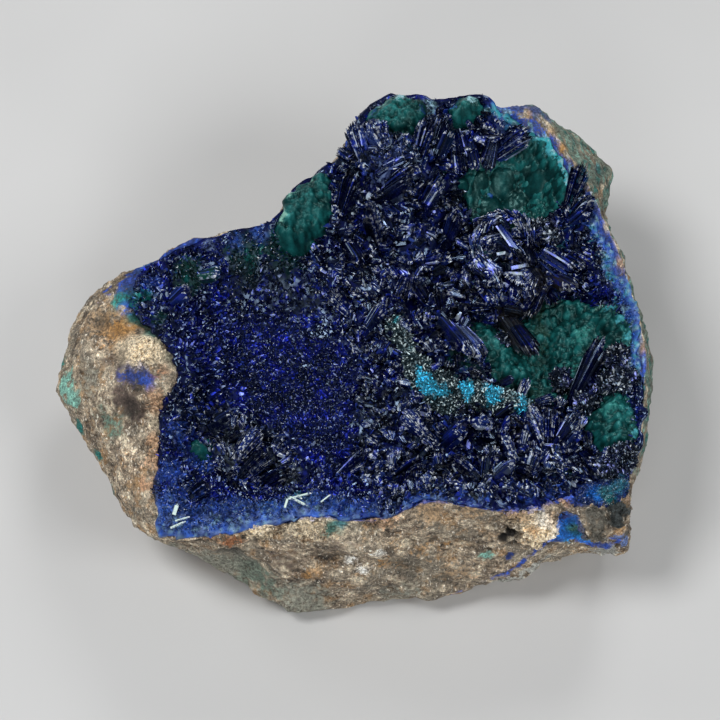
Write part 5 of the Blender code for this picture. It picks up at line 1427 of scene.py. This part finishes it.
def sheaf(place, bed, size, depth, rng):
    """A small book of blades, or a hand-shaped fan of them, growing out of the bed."""
    heading = rng.uniform(0, 2 * math.pi)
    if depth < 2.5:
        heading = math.atan2(HUB[1] - place[1], HUB[0] - place[0]) + rng.uniform(-1.3, 1.3)
    fanned = rng.random() < FANNED_SHARE
    steep = math.radians(rng.uniform(22, 65) if fanned else rng.uniform(6, 42))
    axis = Vector((math.cos(heading) * math.cos(steep), math.sin(heading) * math.cos(steep), math.sin(steep)))
    level = axis.cross(Vector((0, 0, 1))).normalized()
    pile = Matrix.Rotation(rng.uniform(-0.5, 0.5), 3, axis) @ level
    root = Vector((*place, bed - 0.4))
    length = min(size * rng.uniform(1.0, 1.6), SHEAF_REACH / max(0.15, axis.z)) * min(1.0, 0.5 + 0.2 * depth)
    base = rng.choice(SHEAF_SHADES) + rng.uniform(-0.08, 0.08)
    thick = 0.15 * size**0.4
    if fanned:
        return blades(root, axis, pile, 0.3 * size, rng.uniform(0.45, 0.85), length, 0.45 * size**0.6,
                      1.25 * thick, base, rng)
    return blades(root, axis, pile, rng.uniform(0.55, 0.95) * size**0.6, math.radians(rng.uniform(3, 12)),
                  length * 1.15, rng.uniform(0.4, 0.7) * size**0.6, thick, base, rng)


def book(bundle, beds, rng):
    """The blades of one bundle, in layers."""
    x, y, heading, length, width, rise = bundle
    angle = math.radians(heading)
    start, finish = beds[0] - BLADE_SINK, beds[1] + TIP_RISE + rise
    axis = Vector((math.cos(angle), math.sin(angle), (finish - start) / length))
    reach = axis.length * length
    axis.normalize()
    level = axis.cross(Vector((0, 0, 1))).normalized()
    pile = Matrix.Rotation(rng.uniform(-0.6, 0.6), 3, axis) @ level
    deep = axis.cross(pile)
    deep = deep if deep.z < 0 else -deep
    base, fan = rng.uniform(0.2, 0.7), math.radians(rng.uniform(3, 9))
    made = []
    for along, lower, share in BUNDLE_LAYERS:
        last = share == BUNDLE_LAYERS[-1][2]
        if last and width < WIDE_BUNDLE:
            continue
        root = Vector((x, y, start)) + axis * (along * reach) + deep * lower
        made += blades(root, axis, pile, width * (0.8 - 0.2 * last), fan, reach * share,
                       rng.uniform(0.9, 1.3), BUNDLE_BLADE, base, rng)
    return made


def wreath(rng):
    """Glassy blades laid along the wreath in layers, and the plates that cross its hole."""
    line = open_curve(WREATH, 14)
    run = np.gradient(line, axis=0)
    up = Vector((0, 0, 1))
    made = []
    for out, lift in WREATH_LAYERS:
        for number in range(rng.randint(0, 4), len(line) - 4, 5):
            place, ahead = line[number], Vector((*run[number], 0)).normalized()
            aside = up.cross(ahead) * -1
            spot = Vector((*place, float(ground(place)[0]) + CRUST_DEPTH - 0.2 + lift)) + aside * out
            aim = ahead * rng.choice((1, -1)) + aside * rng.uniform(-0.1, 0.22)
            aim += Vector((0, 0, rng.uniform(-0.2, 0.35)))
            pile = aside + Vector((0, 0, rng.uniform(-0.5, 0.5)))
            shade = rng.choice(WREATH_SHADES)
            made.append((spot, aim, pile, rng.uniform(0.6, 0.9), rng.uniform(0.16, 0.26),
                         rng.uniform(1.2, 2.0), shade))
    for x, y, u, v, lift, width, shade in HOLE_PLATES:
        ends = ground([(x, y), (u, v)]) + CRUST_DEPTH - 0.5 + lift
        aim = Vector((u - x, v - y, ends[1] - ends[0]))
        pile = aim.cross(up).normalized() + Vector((0, 0, 1.6))
        made.append((Vector((x, y, ends[0])), aim, pile, width, 0.3, aim.length, shade))
    return made


def needles():
    """The pale needles that lie on the lower edge."""
    made = []
    for x, y, u, v, width in NEEDLES:
        ends = crust_bed([(x, y), (u, v)])
        made.append((Vector((x, y, ends[0] + 0.35)), (u - x, v - y, ends[1] - ends[0] + 0.3), (0.3, 0.2, 1),
                     width, width * 0.8, math.dist((x, y), (u, v)), 0.9))
    return made


def make_crystals(bed, tree, point, sugary):
    """All the azurite crystals on the bed: druse, sheaves, bundles, the wreath and needles."""
    planted, lath = planted_tree(), lath_crystal()
    glassy = azurite_material("azurite_blades", BLADE_BLUES_AND_GLINTS, 0.14, 0.5)
    rng = random.Random(21)
    spots, spans = sheaf_spots(4)
    chosen = zip(spots, crust_bed(spots), spans, depth_inside(crust_edge, spots))
    sheaves = [c for spot, height, size, depth in chosen for c in sheaf(spot, height, size, depth, rng)]
    tips = [(x + math.cos(math.radians(heading)) * length, y + math.sin(math.radians(heading)) * length)
            for x, y, heading, length, _, _ in BUNDLES]
    beds = zip(crust_bed([bundle[:2] for bundle in BUNDLES]), crust_bed(tips))
    pages = [c for bundle, ends in zip(BUNDLES, beds) for c in book(bundle, ends, rng)]
    half, pale = len(sheaves) // 2, np.tile([*NEEDLE_GREEN, 1.0], (len(NEEDLES), 1))
    pieces = [
        scatter("druse_fine", bed, "fine", tree, point, sugary),
        scatter("druse_coarse", bed, "coarse", tree, point, glassy),
        plant("sheaves_left", sheaves[:half], planted, lath, glassy),
        plant("sheaves_right", sheaves[half:], planted, lath, glassy),
        plant("bundles", pages, planted, lath, glassy),
        plant("wreath", wreath(rng), planted, lath, glassy),
        plant("pale_needles", needles(), planted, lath, sugary, pale),
    ]
    bpy.data.objects.remove(lath)
    return pieces


# ---- malachite


def lump_centres(edge, small, large, seed, lobes=LOBES):
    """Centres and radii of the lobes and of rounded lumps that crowd between them inside an outline."""
    rng = np.random.default_rng(seed)
    low, high = edge.min(0), edge.max(0)
    chosen = np.array(lobes, float).reshape(-1, 3)
    if len(chosen):
        chosen = chosen[depth_inside(edge, chosen[:, :2]) > -0.5]
    for _ in range(LUMP_TRIES):
        place = low + (high - low) * rng.random(2)
        radius = small + (large - small) * rng.random() ** 1.8
        apart = np.hypot(*(chosen[:, :2] - place).T)
        if (apart > CLOSEST_LUMPS * (radius + chosen[:, 2])).all():
            chosen = np.vstack([chosen, [*place, radius]])
    return chosen[depth_inside(edge, chosen[:, :2]) > -0.3 * chosen[:, 2]]


def lump_height(places, centres):
    """Height of the lumps over their bed, blended softly where they meet."""
    def work(xy):
        square = ((xy[:, None] - centres[None, :, :2]) ** 2).sum(2)
        return ((np.maximum(centres[:, 2] ** 2 - square, 0.0) ** 2).sum(1)) ** 0.25
    return in_parts(work, places)


def lumpy_sheet(outline, depth, lobes, bumps, smooth):
    """A sheet over the rock with large lobes and small bumps on top. Smooth, from 0 to 1, takes the bumps
    away. Gives points, faces, and each point's share of the way up to a crest."""
    def parts(places):
        inside = np.clip(depth_inside(outline, places) / SHEET_SHOULDER, 0, 1)
        return inside, lump_height(places, lobes), lump_height(places, bumps)

    def top(places):
        inside, lobe, bump = parts(places)
        lift = (0.62 + 0.13 * smooth) * lobe + (1.0 - 0.78 * smooth) * bump
        height = ground(places) + 0.5 + (depth - 1.0) * np.sqrt(inside) + lift * (0.35 + 0.65 * inside)
        return height + 0.07 * flat_rough(places, 9, 0.5) - 0.3

    points, faces, under = sheet(outline, SHEET_STEP, top, lambda places: ground(places) + 0.1)
    _, lobe, bump = parts(points[:, :2])
    # The crest sets the painted shade between the lumps and the painted highlight on their tops, with random
    # tone.
    crest = 0.12 + (0.22 + 0.34 * smooth) * (lobe / max(0.4, lobe.max())) ** 2
    crest += (0.50 - 0.34 * smooth) * (bump / max(0.3, bump.max())) ** 1.3 + 0.18 * rough(points, 1.6, 2)
    crest *= 1 - 0.48 * smooth
    crest[under:] = 0.0
    return points, faces, np.clip(crest, 0, 1)


def make_malachite_piece(name, parts):
    """One piece of malachite from the points, faces and crests of its sheets."""
    points, faces, crest = [], [], []
    for part in parts:
        faces += [[len(crest) + corner for corner in face] for face in part[1]]
        points.append(part[0])
        crest += part[2].tolist()
    points = np.vstack(points)
    piece = make_piece(name, points, faces)
    add_values(piece, "crest", crest)
    stains = stain_colors(points, MALACHITE_STAINS, 2)
    add_rim_powder(stains, points)
    add_colors(piece, "stain", stains)
    return piece


def make_buttons():
    """Small lumps of malachite among the crystals, as one piece."""
    parts = []
    for x, y, radius, lift in BUTTONS:
        outline = patch_outline(x, y, radius)
        base = crust_bed([(x, y)]) - ground([(x, y)])
        bumps = lump_centres(outline, 0.3, 0.55, 5, ())
        lobe = np.array([(x, y, radius)])
        parts.append(lumpy_sheet(outline, float(base[0]) + 0.4 * lift, lobe, bumps, 0.7))
    return make_malachite_piece("malachite_buttons", parts)


def make_lumps(tree, point, sugary):
    """The malachite pieces that stand for solids, and the skins and buttons between them."""
    green = malachite_material()
    for number, (name, (corners, depth, lobe)) in enumerate(MALACHITE.items()):
        edge = wobbly(anticlockwise(closed_curve(corners, 8)))
        lobes = lump_centres(edge, lobe, 1.6 * lobe, 40 + number)
        bumps = lump_centres(edge, 0.42, 0.8, 50 + number, ())
        lumps = lumpy_sheet(edge, depth, lobes, bumps, float(name == SMOOTH_MALACHITE))
        piece = make_malachite_piece(name.replace("malachite", "malachite_lumps"), [lumps])
        finish_piece(piece, [name], green)
    for number, (name, corners) in enumerate(SKINS.items()):
        edge = wobbly(anticlockwise(closed_curve(corners, 8)))
        lobes = lump_centres(edge, 0.7, 1.3, 60 + number, ())
        bumps = lump_centres(edge, 0.38, 0.7, 70 + number, ())
        piece = make_malachite_piece(name, [lumpy_sheet(edge, SKIN_DEPTH[name], lobes, bumps, 0.0)])
        if name.endswith("corner"):
            add_values(piece, "scale", np.ones(len(piece.data.vertices)))
            add_colors(piece, "tone", stain_colors(points_of(piece), MALACHITE_STAINS, 2))
            finish_piece(scatter("corner_powder", piece, "crest", tree, point, sugary))
        finish_piece(piece, (), green)
    finish_piece(make_buttons(), (), green)


# ---- the chrysocolla band and the mounds of dark druse


def make_band():
    """The band's bed: a curved low bank that swells and thins."""
    middle, side, half = band_sides()
    across = np.linspace(-1, 1, BAND_COLUMNS)
    rows = []
    for place, aside, width in zip(middle[1:-1], side[1:-1], half[1:-1]):
        flat = place + aside * (across * width)[:, None]
        arch = np.sqrt(np.clip(1 - np.abs(across) ** 2.5, 0, 1))
        crown = np.column_stack([flat, ground(flat) + BAND_LOW + (BAND_HIGH - BAND_LOW) * arch])
        crown[:, 2] += 0.45 * rough(crown, 1.4, 3) * arch
        foot = place + aside * (np.array([0.6, -0.6]) * width)[:, None]
        rows.append(np.vstack([crown, np.column_stack([foot, ground(foot) + GAP])]))
    ends = [np.append(middle[i], float(ground(middle[i])[0]) + 0.8) for i in (0, -1)]
    points = np.vstack([[ends[0]], *rows, [ends[1]]])
    bank = make_piece("chrysocolla_bed", points, loop_faces(len(rows), len(rows[0])))
    add_values(bank, "where", (point_normals(bank)[:, 2] > 0.02).astype(float))
    add_values(bank, "scale", 1 + 0.5 * rough(points, 1.0))
    add_values(bank, "shade", 0.15 + 0.25 * rough(points, 0.8, 2))
    add_colors(bank, "tone", stain_colors(points, BAND_STAINS, 2, 0.9))
    return bank


def make_chrysocolla(tree, point):
    """The band: its bed and the points on it."""
    bank, grey = make_band(), chrysocolla_material()
    points = scatter("chrysocolla_points", bank, "where", tree, point, grey)
    finish_piece(bank, ["chrysocolla_band"], grey)
    finish_piece(points)


def make_mound_bodies():
    """The closed round bodies of the mounds, as one piece."""
    turns = np.linspace(0, 2 * math.pi, MOUND_COLUMNS, endpoint=False)
    points, faces = [], []
    for x, y, radius, lift in MOUNDS:
        base = float((ground([(x, y)]) + MOUND_BASE)[0]) + lift
        height = MOUND_HEIGHT * radius
        wave = 1 + 0.22 * flat_rough(np.column_stack([x + np.cos(turns), y + np.sin(turns)]), 3, 0.9)
        faces += loop_faces(MOUND_RINGS + 1, MOUND_COLUMNS, len(points))
        points.append((x, y, base + height))
        for ring in range(1, MOUND_RINGS + 1):
            share = math.sin(ring / MOUND_RINGS * math.pi / 2)
            fall = height * (math.sqrt(max(0.0, 1 - share**2)) - (0.6 if ring == MOUND_RINGS else 0.0))
            points += [(x + math.cos(t) * radius * share * w, y + math.sin(t) * radius * share * w,
                        base + fall) for t, w in zip(turns, wave)]
        points += [(x + math.cos(t) * radius * 0.9, y + math.sin(t) * radius * 0.9, base - MOUND_FOOT)
                   for t in turns]
        points.append((x, y, base - MOUND_FOOT))
    points = np.array(points)
    points[:, 2] += 0.14 * rough(points, 0.7, 3)
    return make_piece("dark_mounds", points, faces), points


def make_mounds(tree, point):
    """Mounds of dark druse on the malachite."""
    mounds, points = make_mound_bodies()
    add_values(mounds, "where", (point_normals(mounds)[:, 2] > -0.2).astype(float))
    add_values(mounds, "scale", np.ones(len(points)))
    add_values(mounds, "shade", 0.2 + 0.2 * rough(points, 0.7, 2))
    add_colors(mounds, "tone", np.tile([*DARK_GREY, 0.3], (len(points), 1)))
    dark = azurite_material("azurite_dark_druse", MOUND_GREYS_AND_GLINTS, 0.16, 0.3)
    druse = scatter("dark_druse", mounds, "where", tree, point, dark)
    finish_piece(mounds, (), dark)
    finish_piece(druse)


# ---- putting it together


def finish_piece(placed, nodes=(), material=None):
    """Material and body of a piece, and the nodes it stands for."""
    if material:
        placed.data.materials.clear()
        placed.data.materials.append(material)
    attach(placed, "root")
    if nodes:
        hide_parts(*nodes)


def make_specimen():
    """Every piece of the specimen. A piece is finished once nothing grows on it any more."""
    stone, sugary = rock_material(), azurite_material("azurite_druse", DRUSE_BLUES_AND_GLINTS, 0.18, 0.3)
    rock = make_rock()
    bed = make_crust_bed()
    tree, point = scatter_tree(), point_crystal()
    crystals = make_crystals(bed, tree, point, sugary)
    finish_piece(bed, ["azurite_crust"], sugary)
    for placed in crystals:
        finish_piece(placed)
    make_lumps(tree, point, sugary)
    make_chrysocolla(tree, point)
    make_mounds(tree, point)
    finish_piece(scatter("rock_crumbs", rock, "crumbs", tree, point, stone))
    finish_piece(rock, ["host_rock"], stone)
    bpy.data.objects.remove(point)


# ---- the studio

FLOOR_SIDE, FLOOR_LEVEL = 2.0, -0.0002  # metres, half the side and just under the specimen
# Soft round lights: name, place in metres, power and size.
LIGHTS = [
    ("key", (-0.42, -0.05, 0.85), 4.4, 0.36), ("fill", (0.55, -0.35, 0.62), 2.2, 0.36),
    ("front", (-0.10, -0.90, 0.50), 2.4, 0.36), ("back", (0.25, 0.70, 0.60), 2.2, 0.36),
    ("side", (-0.75, 0.45, 0.45), 1.2, 0.30),
]
LIGHTS_AIM = (0.0, 0.0, 0.015)
SKY_COLOR, SKY_STRENGTH = (0.80, 0.84, 0.90, 1.0), 0.14
LENS, SENSOR, NEAREST = 200.0, 36.0, 0.01
CAMERA_WAY = (0.0, -0.5, math.sqrt(0.75))  # from the specimen, 60 degrees over the horizon
CAMERA_DISTANCE, CAMERA_AIM = 0.6, 0.012  # metres


def make_floor():
    """The plain pale floor."""
    side, level = FLOOR_SIDE, FLOOR_LEVEL
    mesh = bpy.data.meshes.new("floor")
    corners = [(-side, -side, level), (side, -side, level), (side, side, level), (-side, side, level)]
    mesh.from_pydata(corners, [], [(0, 1, 2, 3)])
    floor = bpy.data.objects.new("floor", mesh)
    bpy.context.scene.collection.objects.link(floor)
    s = Shader("pale_floor")
    tone = s.ramp(s.noise(60.0, 2.0), (0.3, (0.60, 0.60, 0.595)), (0.7, (0.64, 0.64, 0.635)))
    mesh.materials.append(s.finish(tone, 0.7))


def make_light(name, place, power, size):
    """A soft round light that looks at the specimen."""
    light = bpy.data.lights.new(name, "AREA")
    light.energy = power
    light.shape = "DISK"
    light.size = size
    placed = bpy.data.objects.new(name, light)
    placed.location = place
    placed.rotation_euler = (Vector(LIGHTS_AIM) - Vector(place)).to_track_quat("-Z", "Y").to_euler()
    bpy.context.scene.collection.objects.link(placed)


def make_camera():
    """The camera, which looks down at the specimen from the front."""
    data = bpy.data.cameras.new("camera")
    data.lens, data.sensor_width, data.clip_start = LENS, SENSOR, NEAREST
    camera = bpy.data.objects.new("camera", data)
    target = Vector((-MIDDLE[0] * MM, -MIDDLE[1] * MM, CAMERA_AIM))
    camera.location = target + CAMERA_DISTANCE * Vector(CAMERA_WAY)
    camera.rotation_euler = (target - camera.location).to_track_quat("-Z", "Y").to_euler()
    bpy.context.scene.collection.objects.link(camera)
    bpy.context.scene.camera = camera


def make_studio():
    """Floor, lights, a dim sky and the camera."""
    make_floor()
    for light in LIGHTS:
        make_light(*light)
    world = bpy.data.worlds.new("studio")
    world.use_nodes = True
    sky = world.node_tree.nodes["Background"].inputs
    sky["Color"].default_value, sky["Strength"].default_value = SKY_COLOR, SKY_STRENGTH
    bpy.context.scene.world = world
    make_camera()
    bpy.context.scene.view_settings.view_transform = "Standard"


make_specimen()
make_studio()
